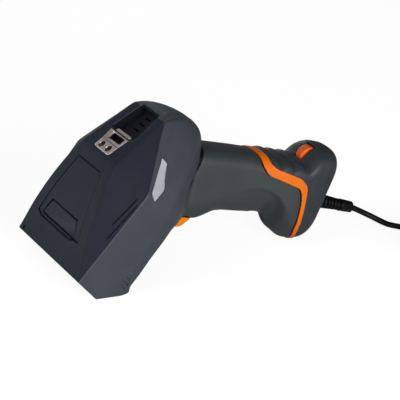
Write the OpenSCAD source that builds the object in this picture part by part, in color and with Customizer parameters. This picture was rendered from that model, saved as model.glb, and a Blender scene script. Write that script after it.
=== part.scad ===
// Corded pistol-grip barcode scanner for the shop floor, lying on its nose and the toe of its grip.
// Every piece is drawn in the scanner's own frame: +X out of the front rim, +Y to the left, +Z up the rim.
// The grip is drawn in a frame of its own, raked back from that one, with S running down the grip.
// at_rest() then tips the whole scanner nose down on to the floor, z = 0.

/* [Head] */
// Width across the front rim
rim_width = 88.6; // [84:0.2:92]
// Widest part of the head, across the shoulder knees
knee_width = 97.6; // [94:0.2:102]
// Width of the top deck at its highest line
deck_width = 45.4; // [40:0.2:50]
// Width of the top deck at its back end
tail_width = 40.6; // [36:0.2:42]
// Rise of the deck between its highest line and the rim, above a straight line
deck_crown = 3.2; // [2:0.1:4.4]
// Wall thickness of the head shells
head_wall = 2.4; // [2:0.1:2.8]
// Corner easing of the head's edges
edge_ease = 1.7; // [1:0.1:2.2]

/* [Grip] */
// Angle of the grip behind a square line from the rim
grip_rake = 33.5; // [32:0.5:35]
// Wall thickness of the grip shells
grip_wall = 2.4; // [2:0.1:2.8]
// Height that the coloured band stands proud of the shells
band_proud = 0.5; // [0.3:0.1:0.8]

/* [Nose] */
// Tilt of the viewing axis below the rim's own axis
aim_tilt = 20; // [18:1:22]
// Height of the front window
window_height = 28; // [26:0.5:29]
// Width of the front window
window_width = 78; // [72:1:79]

/* [Controls] */
// Diameter of the trigger's pivot pin
trigger_pin_d = 3; // [2.6:0.1:3.2]
// Radial running clearance of the trigger on its pin
trigger_clearance = 0.05; // [0.03:0.01:0.1]
// Width of the trigger
trigger_width = 12; // [10:0.5:13]
// Width of the release button at its lower end
release_width = 8.6; // [7:0.2:9]

/* [Lead] */
// Diameter of the lead
lead_d = 4; // [3.6:0.1:4.2]
// Mean diameter of the lead's stored coil
coil_mean_d = 44; // [42:1:48]
// Turns across the coil's section
coil_turns_wide = 3; // [3:1:3]
// Layers of turns in the coil
coil_layers = 4; // [4:1:4]

/* [Hidden] */
$fn = 32;

// The pose in which the scanner lies: the rim's lower cut is flat on the floor.
rest_pitch = 44;
rim_x = 74.5;
rim_top = 24.2;
chin_z = 5.5;
floor_z = chin_z * cos(rest_pitch) - rim_x * sin(rest_pitch);
rest_centre = [-32.8, 0, 0];

// Side view of the head: the knee is the highest line of the deck, the tail its back end.
knee_x = 6.9;
knee_top = 49.3;
knee_shoulder = 34.2;
tail_x = -33.8;
tail_top = 42.9;
rear_deck_angle = atan((knee_top - tail_top) / (knee_x - tail_x));
parting = [[rim_x + 9, rim_top - 1.3], [knee_x, knee_shoulder], [tail_x, tail_top - 0.9], [tail_x, 70],
           [rim_x + 9, 70]];

function mix(a, b, t) = a + (b - a) * t;
function deck_fraction(x) = (x - knee_x) / (rim_x - knee_x);
function deck_z(x) = let (f = deck_fraction(x))
    mix(knee_top, rim_top + 0.5, f) + deck_crown * 4 * f * (1 - f);

// One section of the head: deck edge, shoulder, wall foot, band foot and belly, as [half width, height].
function front_row(x, foot, band, belly) = let (f = deck_fraction(x))
    [x, [mix(deck_width, rim_width - 2.4, f) / 2 + 2 * f * (1 - f), deck_z(x)],
     [mix(knee_width, rim_width, f) / 2, mix(knee_shoulder, rim_top, f)], foot, band, belly];
function rear_row(x, foot, band, belly) = let (f = (x - tail_x) / (knee_x - tail_x))
    [x, [mix(tail_width - 1.6, deck_width, f) / 2, mix(tail_top, knee_top, f)],
     [mix(tail_width, knee_width, f) / 2, mix(tail_top - 0.8, knee_shoulder, f)], foot, band, belly];

head_rows = [
    front_row(rim_x, [44.6, -10.6], [42.4, -12.2], [21, -12.6]),
    front_row(57, [45.4, -5.4], [42.6, -11.6], [21, -12.6]),
    front_row(54.5, [45.5, -4.6], [42, -10], [21, -12.8]),
    front_row(47, [45.8, -2.2], [42, -9], [20, -14]),
    front_row(33, [46.6, 2], [42, -6.4], [19, -17]),
    front_row(20, [47.4, 6.4], [42.4, -4], [18, -19.4]),
    front_row(knee_x, [47.9, 10.6], [42, -1.4], [17.6, -21.4]),
    rear_row(-4, [45, 12.6], [38.4, 0.6], [17.6, -20.4]),
    rear_row(-14, [39.6, 13], [32.4, 2.4], [17.4, -14]),
    rear_row(-24, [33.4, 12.6], [26, 3], [16, -8.6]),
    rear_row(tail_x, [26.4, 11.4], [19.6, 2.4], [13.4, -3.8]),
    [-38.5, [15, 40.8], [18.4, 37.4], [21.5, 10.6], [15, 2.2], [8, -3.6]],
    [-43.2, [11.4, 35.4], [14.8, 30.4], [16.8, 10], [10.6, 3], [5.6, -1.2]],
    [-46.8, [7.8, 28.8], [10.8, 23.6], [12.4, 10], [7.8, 5.4], [4.2, 2.6]],
    [-49.2, [4.6, 21.6], [6.6, 17.8], [7.6, 11.2], [5, 8], [3, 6.4]],
    [-50.2, [2, 16], [2.8, 14.4], [3.2, 11.8], [2.4, 9.8], [1.6, 9.2]]
];

// The grip's sections: place down the grip and its lean, back, back and front end of the flat sides,
// front, half width, and how sudden the crease is where the front curve starts (2 is none).
grip_rows = [
    [-16, 0, -17, -6, 20, 33.4, 15.6, 2.2],
    [-2, 0, -17, -6, 20, 33.8, 16.8, 2.2],
    [5.4, 0, -17, -6, 18, 33.6, 16.8, 2.2],
    [9, 0, -17, -6, 16, 32.8, 16.7, 2.1],
    [14, 0, -17, -6, 14, 30.2, 16.6, 2],
    [20, 0, -17, -6, 12, 27.4, 16.5, 1.9],
    [28, 0, -16.9, -6, 11, 26.3, 16.5, 1.8],
    [38, 0, -16.5, -6, 9, 26.3, 16.9, 1.6],
    [48, 0, -16.2, -6, 6.8, 26.1, 17.6, 1.4],
    [56, 0, -15.9, -6, 6.3, 26, 18.3, 1.35],
    [60.6, 0, -15.6, -6, 7.6, 26.4, 18.8, 1.35],
    [65.4, -0.03, -15.4, -6, 10.4, 29.4, 19.2, 1.35],
    [69.8, -0.05, -15.4, -6, 14, 33.4, 19.6, 1.4],
    [73, -0.065, -15.4, -6, 17.5, 35.8, 19.9, 1.5],
    [77.2, -0.08, -15, -6, 19.5, 37.8, 20.1, 1.9],
    [79, -0.085, -15.4, -6, 20, 38.5, 20.1, 2],
    [80.8, -0.1, -19, -6, 20, 39.3, 20.2, 2],
    [82.4, -0.105, -22.4, -6.5, 20, 40, 20.2, 2],
    [85, -0.12, -25, -7, 20, 41, 20.2, 2],
    [88.6, -0.13, -26, -7, 20, 41.5, 20, 2],
    [93.4, -0.14, -25.8, -7, 20, 41.6, 19.6, 2],
    [96.6, -0.15, -25, -7, 20, 41.2, 19, 2.1],
    [99.4, -0.15, -23.6, -7, 19.5, 39.9, 17.6, 2.1],
    [100.9, -0.15, -21.6, -7, 18.5, 37.6, 15.4, 2.1]
];
// The thumb ribs: place down the grip and back of each of the back cover's sections there.
rib_backs = [[40, -16.5], [48, -16.4], [50.6, -17.1], [54, -17.2], [56.6, -16.8], [58.4, -15.3], [60.4, -16.4],
             [64, -16.6], [66.6, -16.2], [68.4, -14.9], [70.2, -16.1], [73, -16.2], [75, -15.8], [76.4, -14.8]];
hollow_rows = [0, 2, 5, 7, 9, 12, 14, 16, 17, 18, 20];
hollow_end = 98;
grip_origin = [-30, 0, -12];

// The coloured band in side view, as [P, S] points of its front and back edges.
band_front = [[-30, 43.8], [-16, 42.4], [-11.6, 43], [-8.6, 45.2], [-5.4, 49.4], [-3.4, 57.3], [0.2, 71.7],
              [1.8, 74.8], [5, 76.9], [12, 78.9], [25.3, 80.1], [31.7, 81.3], [36.4, 83.6], [50, 91]];
band_back = [[50, 96], [39.8, 88.8], [35.5, 85.7], [27.5, 83.2], [13.9, 82.1], [4.6, 80.9], [-0.3, 79.6],
             [-3.6, 76.7], [-6.2, 71.9], [-9.3, 55.7], [-10.8, 50], [-13, 47.4], [-30, 49.4]];

// The way along a chain of points: each corner becomes a short curve.
function bend(a, c, b, d, n) = let (u = a - c, v = b - c)
    let (p = c + u * min(d / norm(u), 0.45), q = c + v * min(d / norm(v), 0.45))
    [for (i = [0 : n]) let (t = i / n) p * (1 - t) ^ 2 + c * 2 * t * (1 - t) + q * t ^ 2];
function eased(pts, d, n) = let (m = len(pts))
    [for (i = [0 : m - 1]) each bend(pts[(i + m - 1) % m], pts[i], pts[(i + 1) % m], d, n)];
function reversed(list) = [for (i = [len(list) - 1 : -1 : 0]) list[i]];
function mirrored(pts) = [for (p = reversed(pts)) [-p[0], p[1]]];

// A closed solid through rings that all have the same number of points.
module loft(rings) {
    n = len(rings[0]);
    last = (len(rings) - 1) * n;
    polyhedron(
        points = [for (r = rings) each r],
        faces = concat(
            [[for (j = [0 : n - 1]) j]],
            [for (i = [0 : len(rings) - 2], j = [0 : n - 1]) each let (k = (j + 1) % n, a = i * n)
                [[a + k, a + j, a + n + j], [a + k, a + n + j, a + n + k]]],
            [[for (j = [n - 1 : -1 : 0]) last + j]]
        ),
        convexity = 6
    );
}

function half_section(row, t) = [
    row[1] - [0.5 * t, t], row[2] - [t, 0.3 * t], row[3] + [-t, 0.1 * t], row[4] + [-0.8 * t, 0.6 * t],
    row[5] + [-0.4 * t, t]
];
function head_ring(row, t, n) = let (h = half_section(row, t), x = row[0])
    [for (p = n > 0 ? eased(concat(h, mirrored(h)), edge_ease, n) : concat(h, mirrored(h))) [x, p[0], p[1]]];

module head_outer(t = 0) {
    loft([for (row = head_rows) head_ring(row, t, 2)]);
}

// The hollow of the head: open at the rim, closed short of the stern.
module head_hollow() {
    rows = [for (row = head_rows) if (row[0] > -44) row];
    first = head_ring(rows[0], head_wall, 0);
    loft(concat(
        [[for (p = first) p + [9, 0, -3.3]]],
        [for (row = rows) head_ring(row, row[0] < -40 ? 1.5 * head_wall : head_wall, 0)]
    ));
}

function grip_curve(row, grow, m) = let (k = 2 / row[7], half = row[6] + grow)
    concat(
        [for (i = [0 : m]) let (a = 90 * i / m)
            [row[4] + (row[5] + grow - row[4]) * cos(a) ^ k, half * sin(a) ^ 0.95]],
        [for (i = [0 : m]) let (a = 90 * i / m)
            [row[3] - (row[3] - row[2] + grow) * sin(a) ^ 0.8, half * cos(a) ^ 0.8]]
    );
function grip_ring(row, grow, m) = let (half = grip_curve(row, grow, m), n = len(half))
    [for (p = concat(half, [for (i = [n - 2 : -1 : 1]) [half[i][0], -half[i][1]]]))
        [p[0], -p[1], -(row[0] + row[1] * p[0])]];

module grip_outer(grow = 0) {
    loft([for (row = grip_rows) grip_ring(row, grow, 7)]);
}

function column(i) = [for (row = grip_rows) [row[0], row[i]]];
function row_at(s) = [s, for (i = [1 : 7]) lookup(s, column(i))];
module cover_outer() {
    ribs = [for (rib = rib_backs) let (row = row_at(rib[0]))
        [row[0], row[1], rib[1], row[3], row[4], row[5], row[6], row[7]]];
    below = [for (row = grip_rows) if (row[0] > 77) row];
    loft([for (row = concat(ribs, below)) grip_ring(row, 0, 7)]);
}

module grip_hollow(inset = grip_wall) {
    top = grip_ring(grip_rows[0], -inset, 4);
    loft(concat(
        [[for (p = top) p + [0, 0, 8]]],
        [for (i = hollow_rows) grip_ring(grip_rows[i], -inset, 4)],
        [grip_ring(row_at(hollow_end), -inset - 0.4, 4)]
    ));
}

module in_grip() {
    translate(grip_origin) rotate([0, grip_rake, 0]) children();
}

module at_rest() {
    translate([-rest_centre[0], 0, -floor_z]) rotate([0, rest_pitch, 0]) children();
}

module above_floor() {
    intersection() {
        children();
        rotate([0, -rest_pitch, 0]) translate([-260, -80, floor_z]) cube([440, 160, 240]);
    }
}

// A side-view outline in the grip's frame, drawn as [P, S], as thick as it is told across the grip.
module grip_slab(outline, width = 60) {
    rotate([90, 0, 0]) linear_extrude(width, center = true) polygon([for (p = outline) [p[0], -p[1]]]);
}

band_outline = concat(band_front, band_back);
shell_outline = concat([[-50, -40], [60, -40], [60, 91]], reversed(band_front), [[-50, 43.8]]);
back_outline = concat([[60, 96]], band_back, [[-50, 49.4], [-50, 130], [60, 130]]);

// Frames on the head: the back half of the deck, and the viewing axis with +Z out of the window.
module on_rear_deck() {
    translate([knee_x, 0, knee_top]) rotate([0, -rear_deck_angle, 0]) children();
}
aim_x = 61.7;
aim_z = 7.4;
module on_aim() {
    translate([aim_x, 0, aim_z]) rotate([0, 90 + aim_tilt, 0]) children();
}
module both_sides() {
    children();
    mirror([0, 1, 0]) children();
}

// Bracket plate, seen from above on the rear deck, and the channel behind it.
plate_length = 16;
plate_end = -2.4;
plate_bend = plate_end - plate_length;
plate_thick = 1.2;
plate_seam = plate_end - 7.4;
eye_from = -16.1;
eye_to = -11.6;
eye_half = 8.2;
plate_screw_x = -4.8;
plate_screw_y = 4.7;
channel_front = -19.6;
channel_back = -43.6;
channel_front_half = 14.6;
channel_back_half = 11.2;
channel_depth = 4.8;
tray_wall = 1.2;
tray_floor = 1.4;
sound_slots = [-38.2, -33, -28];

module plate_outline(grow = 0) {
    offset(r = grow, $fn = 12) offset(r = 1.6, $fn = 12) offset(delta = -1.6)
        polygon([[plate_bend, -11.6], [plate_seam, -10.2], [plate_end, -9.8],
                 [plate_end, 9.8], [plate_seam, 10.2], [plate_bend, 11.6]]);
}
module channel_outline(inset = 0) {
    offset(r = 2, $fn = 12) offset(delta = -2 - inset)
        polygon([[channel_front, -channel_front_half], [channel_back, -channel_back_half],
                 [channel_back, channel_back_half], [channel_front, channel_front_half]]);
    pocket_half = eye_half + 1.4 - inset;
    translate([channel_front - 0.5, -pocket_half])
        square([eye_to - channel_front + 1.3 - inset, 2 * pocket_half]);
}

// Room for the bracket's bent flange at the front of the channel.
module flange_room() {
    on_rear_deck() translate([plate_bend - 4.4, -11.2, -4.6]) cube([5.6, 22.4, 5.6]);
}

// Groove of the deck panel: a narrow cut that follows the deck from [x, y] to [x, y].
groove = 0.7;
module deck_groove(a, b, steps) {
    side = abs(b[0] - a[0]) > abs(b[1] - a[1]) ? [0, groove / 2] : [groove / 2, 0];
    turn = side[0] == 0 ? sign(b[0] - a[0]) : -sign(b[1] - a[1]);
    loft([for (i = [0 : steps]) let (c = a + (b - a) * i / steps, z = deck_z(c[0]))
        let (l = c - side * turn, r = c + side * turn)
        [[l[0], l[1], z - 0.5], [l[0], l[1], z + 2], [r[0], r[1], z + 2], [r[0], r[1], z - 0.5]]]);
}
panel_top = [15.6, 15.8];
panel_foot = [57.6, 28.6];
label_top = [47.2, 17.4];
label_foot = [56.6, 22.4];
label_mid = (label_top[0] + label_foot[0]) / 2;
label_slope = atan2(deck_z(label_top[0]) - deck_z(label_foot[0]), label_foot[0] - label_top[0]);
module label_prism(grow, low, high) {
    half = (label_foot[0] - label_top[0]) / 2 / cos(label_slope);
    translate([label_mid, 0, deck_z(label_mid)]) rotate([0, label_slope, 0]) translate([0, 0, low])
        linear_extrude(high - low) offset(r = grow + 0.8) offset(delta = -0.8)
            polygon([[-half, -label_top[1]], [half, -label_foot[1]], [half, label_foot[1]],
                     [-half, label_top[1]]]);
}

// Vent slots beside the shoulder: back end and front end, as [x, y].
vent_slots = [[[12.6, 44.6], [34.8, 41.6]], [[16, 46.8], [43.6, 43.6]]];
vent_width = 1.3;

// Status light on the wall behind the knee: [along the wall from the knee, height].
light_outline = [[1.7, 26.6], [4.2, 31.4], [12, 32.4], [29.4, 34.2], [28.2, 29.4], [21.8, 27], [11.5, 24.2]];
light_gap = [0.5, -0.6];
module light_opening() {
    polygon(concat([for (i = [0 : 3]) light_outline[i]], [for (i = [3 : 6]) light_outline[i] + light_gap],
                   [light_outline[0] + light_gap]));
}
light_wall_turn = atan2(knee_width - tail_width, 2 * (knee_x - tail_x));
module light_prism(depth) {
    both_sides()
        translate([knee_x, knee_width / 2 + 2, 0]) rotate([0, 0, 180 + light_wall_turn])
            rotate([90, 0, 0]) translate([0, 0, -depth]) linear_extrude(depth) children();
}

// Head shells

board_posts = [[-28, 42.4], [2, 46.8]];
post_y = 16.9;
module head_top_cover() {
    color([0.17, 0.19, 0.23]) difference() {
        union() {
            difference() {
                intersection() {
                    head_outer();
                    rotate([90, 0, 0]) linear_extrude(120, center = true) polygon(parting);
                }
                head_hollow();
            }
            both_sides() for (post = board_posts) translate([post[0], post_y, main_board_z + 1.6])
                cylinder(h = post[1] - main_board_z - 1.6, r = 2.2, $fn = 16);
        }
        on_rear_deck() translate([0, 0, -12]) linear_extrude(20) channel_outline();
        flange_room();
        on_rear_deck() translate([0, 0, -0.9]) linear_extrude(6) plate_outline(0.15);
        on_rear_deck() for (s = [-1, 1])
            translate([plate_screw_x, s * plate_screw_y, -9]) cylinder(h = 12, r = 1.1, $fn = 16);
        both_sides() deck_groove(panel_top, panel_foot, 5);
        deck_groove([panel_top[0], panel_top[1]], [panel_top[0], -panel_top[1]], 1);
        both_sides() deck_groove([panel_foot[0], panel_foot[1]], [panel_foot[0], 23.4], 1);
        deck_groove([58.2, 23], [58.2, -23], 1);
        label_prism(0.4, -0.7, 6);
        both_sides() for (v = vent_slots) let (run = v[1] - v[0])
            translate([v[0][0], v[0][1] - vent_width / 2, 28]) rotate([0, 0, atan2(run[1], run[0])])
                cube([norm(run), vent_width, 14]);
        translate([71.2, -39, deck_z(72.8) - 1]) cube([6, 2.5, 4]);
    }
}

module head_body_shell() {
    color([0.28, 0.31, 0.34]) above_floor() difference() {
        union() {
            difference() {
                head_outer();
                rotate([90, 0, 0]) linear_extrude(120, center = true) polygon(parting);
                head_hollow();
            }
            both_sides() translate([screw_at[0], screw_at[1], screw_at[2] - 1]) cylinder(h = 5, r = 4, $fn = 20);
        }
        on_rear_deck() translate([0, 0, -12]) linear_extrude(20) channel_outline();
        light_prism(15) light_opening();
        in_grip() loft([for (row = [grip_rows[0], grip_rows[1], grip_rows[2], grip_rows[3]])
            [for (p = grip_ring(row, 0.3, 7)) p + [0, 0, row[0] < -10 ? 12 : 0]]]);
        in_grip() translate([28, -trigger_width / 2 - 0.7, -2]) cube([13.4, trigger_width + 1.4, 24]);
        both_sides() translate([screw_at[0], screw_at[1], screw_at[2] - 6]) {
            cylinder(h = 6, r = 2.9, $fn = 16);
            cylinder(h = 24, r = 1.45, $fn = 16);
        }
    }
}

// Screws from below into the front of the top cover.
screw_at = [44, 37, -7.6];
module head_screws() {
    color([0.3, 0.3, 0.32]) both_sides() translate(screw_at) difference() {
        union() {
            translate([0, 0, -1.7]) cylinder(h = 1.7, r = 2.6, $fn = 16);
            cylinder(h = 11, r = 1.4, $fn = 16);
        }
        translate([0, 0, -2.7]) cylinder(h = 2, r = 1.3, $fn = 6);
    }
}

module label_plate() {
    color([0.13, 0.14, 0.17]) label_prism(0, -0.7, -0.05);
}

module channel_tray() {
    color([0.1, 0.11, 0.13]) on_rear_deck() difference() {
        translate([0, 0, -channel_depth - tray_floor])
            linear_extrude(channel_depth + tray_floor - 1) channel_outline(0.1);
        translate([0, 0, -channel_depth]) linear_extrude(9) channel_outline(0.1 + tray_wall);
        for (x = sound_slots) translate([x - 0.6, -3.4, -9]) cube([1.2, 6.8, 9]);
        translate([plate_bend - 4.4, -11.2, -4.6]) cube([5.6, 22.4, 5.6]);
    }
}

module hang_bracket() {
    color([0.72, 0.69, 0.67]) on_rear_deck() difference() {
        union() {
            translate([0, 0, -0.9]) linear_extrude(plate_thick) plate_outline();
            translate([plate_bend + 0.4, 0, -0.9]) rotate([0, -34, 0]) translate([-4.4, 0, 0])
                linear_extrude(plate_thick)
                    polygon([[0, -8.6], [1.2, -10.2], [4.6, -10.6], [4.6, 10.6], [1.2, 10.2], [0, 8.6]]);
        }
        translate([eye_from, -eye_half, -3]) cube([eye_to - eye_from, 2 * eye_half, 9]);
        for (s = [-1, 1]) translate([plate_screw_x, s * plate_screw_y, -3]) {
            cylinder(h = 9, r = 1.15, $fn = 16);
            translate([0, 0, 2.4]) cylinder(h = 6, r = 2, $fn = 16);
        }
    }
}

module bracket_screws() {
    color([0.5, 0.47, 0.45]) on_rear_deck() for (s = [-1, 1])
        translate([plate_screw_x, s * plate_screw_y, 0]) difference() {
            union() {
                translate([0, 0, -7]) cylinder(h = 6.6, r = 1.05, $fn = 16);
                translate([0, 0, -0.58]) cylinder(h = 0.72, r = 1.85, $fn = 16);
            }
            translate([0, 0, -0.3]) cylinder(h = 3, r = 0.8, $fn = 6);
        }
}

module status_lights() {
    color([0.75, 0.77, 0.8]) intersection() {
        light_prism(3.6) polygon(light_outline);
        head_outer();
    }
}

// Nose

// The walls of the head's front opening, ring by ring, and where each line of them crosses the plane
// that lies a height above the window's plane.
bezel_gap = 0.5;
mouth_rings = concat([[for (p = head_ring(head_rows[0], head_wall + bezel_gap, 0)) p + [9, 0, -3.3]]],
                     [for (row = head_rows) if (row[0] > 30) head_ring(row, head_wall + bezel_gap, 0)]);
function aim_height(p) = (p[0] - aim_x) * cos(aim_tilt) - (p[2] - aim_z) * sin(aim_tilt);
function crossing(height, j, i = 0) =
    let (a = mouth_rings[i][j], b = mouth_rings[i + 1][j], above = aim_height(a), below = aim_height(b))
    below > height ? crossing(height, j, i + 1) : mix(a, b, (above - height) / (above - below));
bezel_low = -3.4;
bezel_high = 1.8;
module front_bezel() {
    color([0.06, 0.06, 0.07]) difference() {
        loft([for (height = [bezel_high : -1.3 : bezel_low])
            [for (j = [0 : len(mouth_rings[0]) - 1]) crossing(height, j)]]);
        on_aim() translate([-window_height / 2 + 2, -window_width / 2 + 2, -6])
            cube([window_height - 4, window_width - 4, 12]);
        on_aim() translate([-window_height / 2, -window_width / 2, -1.2])
            cube([window_height, window_width, 6]);
    }
}

module front_window() {
    color([0.8, 0.9, 0.95]) on_aim()
        translate([-window_height / 2 + 0.1, -window_width / 2 + 0.1, -1.2])
            cube([window_height - 0.2, window_width - 0.2, 2]);
}

diffuser_length = 26.2;
function oblong(x, y, z) = [[-x, -y, z], [x, -y, z], [x, y, z], [-x, y, z]];
module diffuser_hood() {
    color([0.95, 0.95, 0.94]) on_aim() translate([0, 0, -3.4]) difference() {
        loft([oblong(10, 19, -diffuser_length), oblong(12, 36, 0)]);
        loft([oblong(8.6, 17.4, -diffuser_length - 0.5), oblong(10.8, 34.6, 0.5)]);
    }
}

board_z = -31.2;
module led_board() {
    color([0.05, 0.3, 0.16]) on_aim() difference() {
        translate([-13, -22, board_z]) cube([26, 44, 1.6]);
        translate([0, 0, board_z - 1]) cylinder(h = 4, r = 7.1, $fn = 20);
    }
}
module leds() {
    color([0.98, 0.96, 0.8]) on_aim() for (x = [-5.6, 0, 5.6], y = [-14, 14])
        translate([x - 1.4, y - 1.4, board_z + 1.6]) cube([2.8, 2.8, 1.1]);
}
module lens_barrel() {
    color([0.08, 0.08, 0.09]) on_aim() translate([0, 0, board_z - 4]) difference() {
        cylinder(h = 10, r = 7, $fn = 20);
        translate([0, 0, 6]) cylinder(h = 5, r1 = 4.6, r2 = 6.2, $fn = 20);
        translate([0, 0, -1]) cylinder(h = 12, r = 3.6, $fn = 20);
    }
}
module lens_glass() {
    color([0.35, 0.4, 0.6]) on_aim() translate([0, 0, board_z + 0.4]) cylinder(h = 1.6, r = 3.6, $fn = 20);
}
module camera_module() {
    color([0.15, 0.15, 0.17]) on_aim() translate([-10, -12, board_z - 14]) cube([20, 24, 10]);
}
module engine_frame() {
    color([0.6, 0.61, 0.63]) on_aim() difference() {
        translate([-12, -26, board_z - 14]) cube([24, 52, 12.2]);
        translate([-10, -12, board_z - 15]) cube([20, 24, 11]);
        translate([0, 0, board_z - 8]) cylinder(h = 10, r = 7, $fn = 20);
        for (s = [-1, 1]) translate([-9, s * 19 - 5, board_z - 15]) cube([18, 10, 11]);
    }
}

// Electronics

main_board_z = 18;
module main_board() {
    color([0.04, 0.28, 0.15]) translate([-36, -19, main_board_z]) cube([42, 38, 1.6]);
}
module processor_can() {
    color([0.75, 0.76, 0.78]) translate([-14, -9, main_board_z + 1.6]) cube([18, 18, 2.6]);
}
module buzzer() {
    color([0.1, 0.1, 0.1]) translate([-27, 0, main_board_z + 1.6]) difference() {
        cylinder(h = 7, r = 6.4, $fn = 20);
        translate([0, 0, 6]) cylinder(h = 3, r = 1, $fn = 16);
    }
}
module grip_board() {
    color([0.04, 0.28, 0.15]) in_grip() translate([-8, -8, -72]) cube([1.6, 16, 60]);
}
module ribbon_cable() {
    color([0.85, 0.5, 0.1]) in_grip()
        grip_slab([[-6, -26], [-5.6, -26], [-5.6, 12.4], [-6, 12.4]], 12);
}
module vibration_motor() {
    color([0.7, 0.7, 0.72]) in_grip() translate([6, 0, -58]) rotate([90, 0, 0])
        cylinder(h = 18, r = 5, center = true, $fn = 20);
}
module lead_socket() {
    color([0.88, 0.88, 0.85]) in_grip() translate([-6.4, -7, -70]) cube([6, 14, 9]);
}
module lead_connector() {
    color([0.95, 0.95, 0.93]) in_grip() translate([-5.6, -6, -79]) cube([4.6, 12, 9]);
}

// Trigger: its pivot sits above the belly, its toe ends at the lip of the grip.
pivot_p = 33;
pivot_s = -20;
trigger_outline = [[29.6, -23], [36.2, -23], [38.4, -14], [39.7, -8], [39.5, -3], [38.2, -0.6], [35.4, 1.6],
                   [32.8, 4.3], [31.6, 3.6], [32.6, -1], [33.4, -8], [31.4, -12], [29.6, -16]];
module trigger() {
    color([1, 0.45, 0.06]) in_grip() difference() {
        union() {
            difference() {
                grip_slab(eased(trigger_outline, 1.6, 2), trigger_width);
                for (s = [-1, 1]) translate([26, s * (trigger_width / 2 + 5 - 1) - 5, 12]) cube([14, 10, 14]);
            }
            translate([pivot_p, 0, -pivot_s]) rotate([90, 0, 0])
                cylinder(h = trigger_width - 2, r = 3.6, center = true);
            translate([22.6, -2.6, 8]) cube([10, 5.2, 3]);
        }
        translate([pivot_p, 0, -pivot_s]) rotate([90, 0, 0])
            cylinder(h = 30, r = trigger_pin_d / 2 + trigger_clearance, center = true);
    }
}
ear_y = 8.4;
ear_thick = 2;
module trigger_bracket() {
    color([0.35, 0.36, 0.38]) intersection() {
        in_grip() difference() {
            for (s = [-1, 1]) translate([pivot_p - 5, s * (ear_y + ear_thick / 2) - ear_thick / 2, 16.4])
                cube([11, ear_thick, 8.6]);
            translate([pivot_p, 0, -pivot_s]) rotate([90, 0, 0])
                cylinder(h = 40, r = trigger_pin_d / 2, center = true);
        }
        head_hollow();
    }
}
module trigger_pin() {
    color([0.8, 0.8, 0.82]) in_grip() translate([pivot_p, 0, -pivot_s]) rotate([90, 0, 0])
        cylinder(h = 2 * (ear_y + ear_thick) + 1, r = trigger_pin_d / 2, center = true);
}
module trigger_spring() {
    color([0.8, 0.8, 0.82]) in_grip() translate([pivot_p, 0, -pivot_s]) rotate([90, 0, 0])
        for (i = [0 : 2]) translate([0, 0, 5.7 + 0.8 * i])
            rotate_extrude($fn = 12) translate([2.2, 0]) circle(r = 0.39, $fn = 5);
}
module trigger_switch() {
    color([0.12, 0.12, 0.13]) in_grip() {
        translate([13.6, -3.2, 6]) cube([6, 6.4, 7]);
        translate([19.6, -1.2, 8.4]) cube([0.6, 2.4, 2.2]);
    }
}

// Grip

module grip_shell() {
    color([0.25, 0.27, 0.28]) above_floor() in_grip() difference() {
        intersection() {
            grip_outer();
            grip_slab(shell_outline, 120);
        }
        grip_hollow();
        translate([27, -trigger_width / 2 - 0.5, -5.2]) cube([14, trigger_width + 1, 30]);
    }
}

module colour_band() {
    color([1, 0.47, 0.08]) above_floor() in_grip() difference() {
        intersection() {
            grip_outer(band_proud);
            grip_slab(band_outline, 120);
        }
        grip_hollow(grip_wall - 0.4);
    }
}

// Release button: a saddle on the slope above the heel.
release_slope = 46;
release_at = [-19.6, 83.6];
release_length = 12.4;
boot_at = [13.6, 98.96];
boot_lean = 4.8;
module release_frame() {
    translate([release_at[0], 0, -release_at[1]]) rotate([0, -90 + release_slope, 0]) children();
}
module boot_frame() {
    translate([boot_at[0], 0, -boot_at[1]]) rotate([0, 180 - boot_lean, 0]) children();
}

module back_cover() {
    color([0.23, 0.25, 0.27]) above_floor() in_grip() difference() {
        union() {
            difference() {
                intersection() {
                    cover_outer();
                    grip_slab(back_outline, 120);
                }
                grip_hollow();
            }
            intersection() {
                release_frame() translate([-3, -30, -9.2]) cube([6, 60, 1.8]);
                grip_outer(-1);
            }
        }
        release_frame() translate([-release_length / 2 - 0.4, -release_width / 2 - 0.4, -7.4])
            cube([release_length + 0.8, release_width + 0.8, 14]);
        boot_frame() translate([0, 0, -12]) cylinder(h = 30, r = 4.8, $fn = 24);
    }
}

module release_button() {
    color([1, 0.33, 0.08]) in_grip() release_frame() difference() {
        translate([0, 0, -4.4]) linear_extrude(6.2)
            polygon([[-release_length / 2, -release_width / 2], [release_length / 2, -release_width / 2 + 1.4],
                     [release_length / 2, release_width / 2 - 1.4], [-release_length / 2, release_width / 2]]);
        translate([0, 0, -20.6]) rotate([90, 0, 0]) difference() {
            cylinder(h = 40, r = 60, center = true);
            cylinder(h = 50, r = 21.6, center = true);
        }
    }
}
module release_spring() {
    color([0.8, 0.8, 0.82]) in_grip() release_frame() translate([0, 0, -7])
        for (i = [0 : 1]) translate([0, 0, 0.8 * i])
            rotate_extrude($fn = 12) translate([2.4, 0]) circle(r = 0.39, $fn = 5);
}

// Lead

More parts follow.
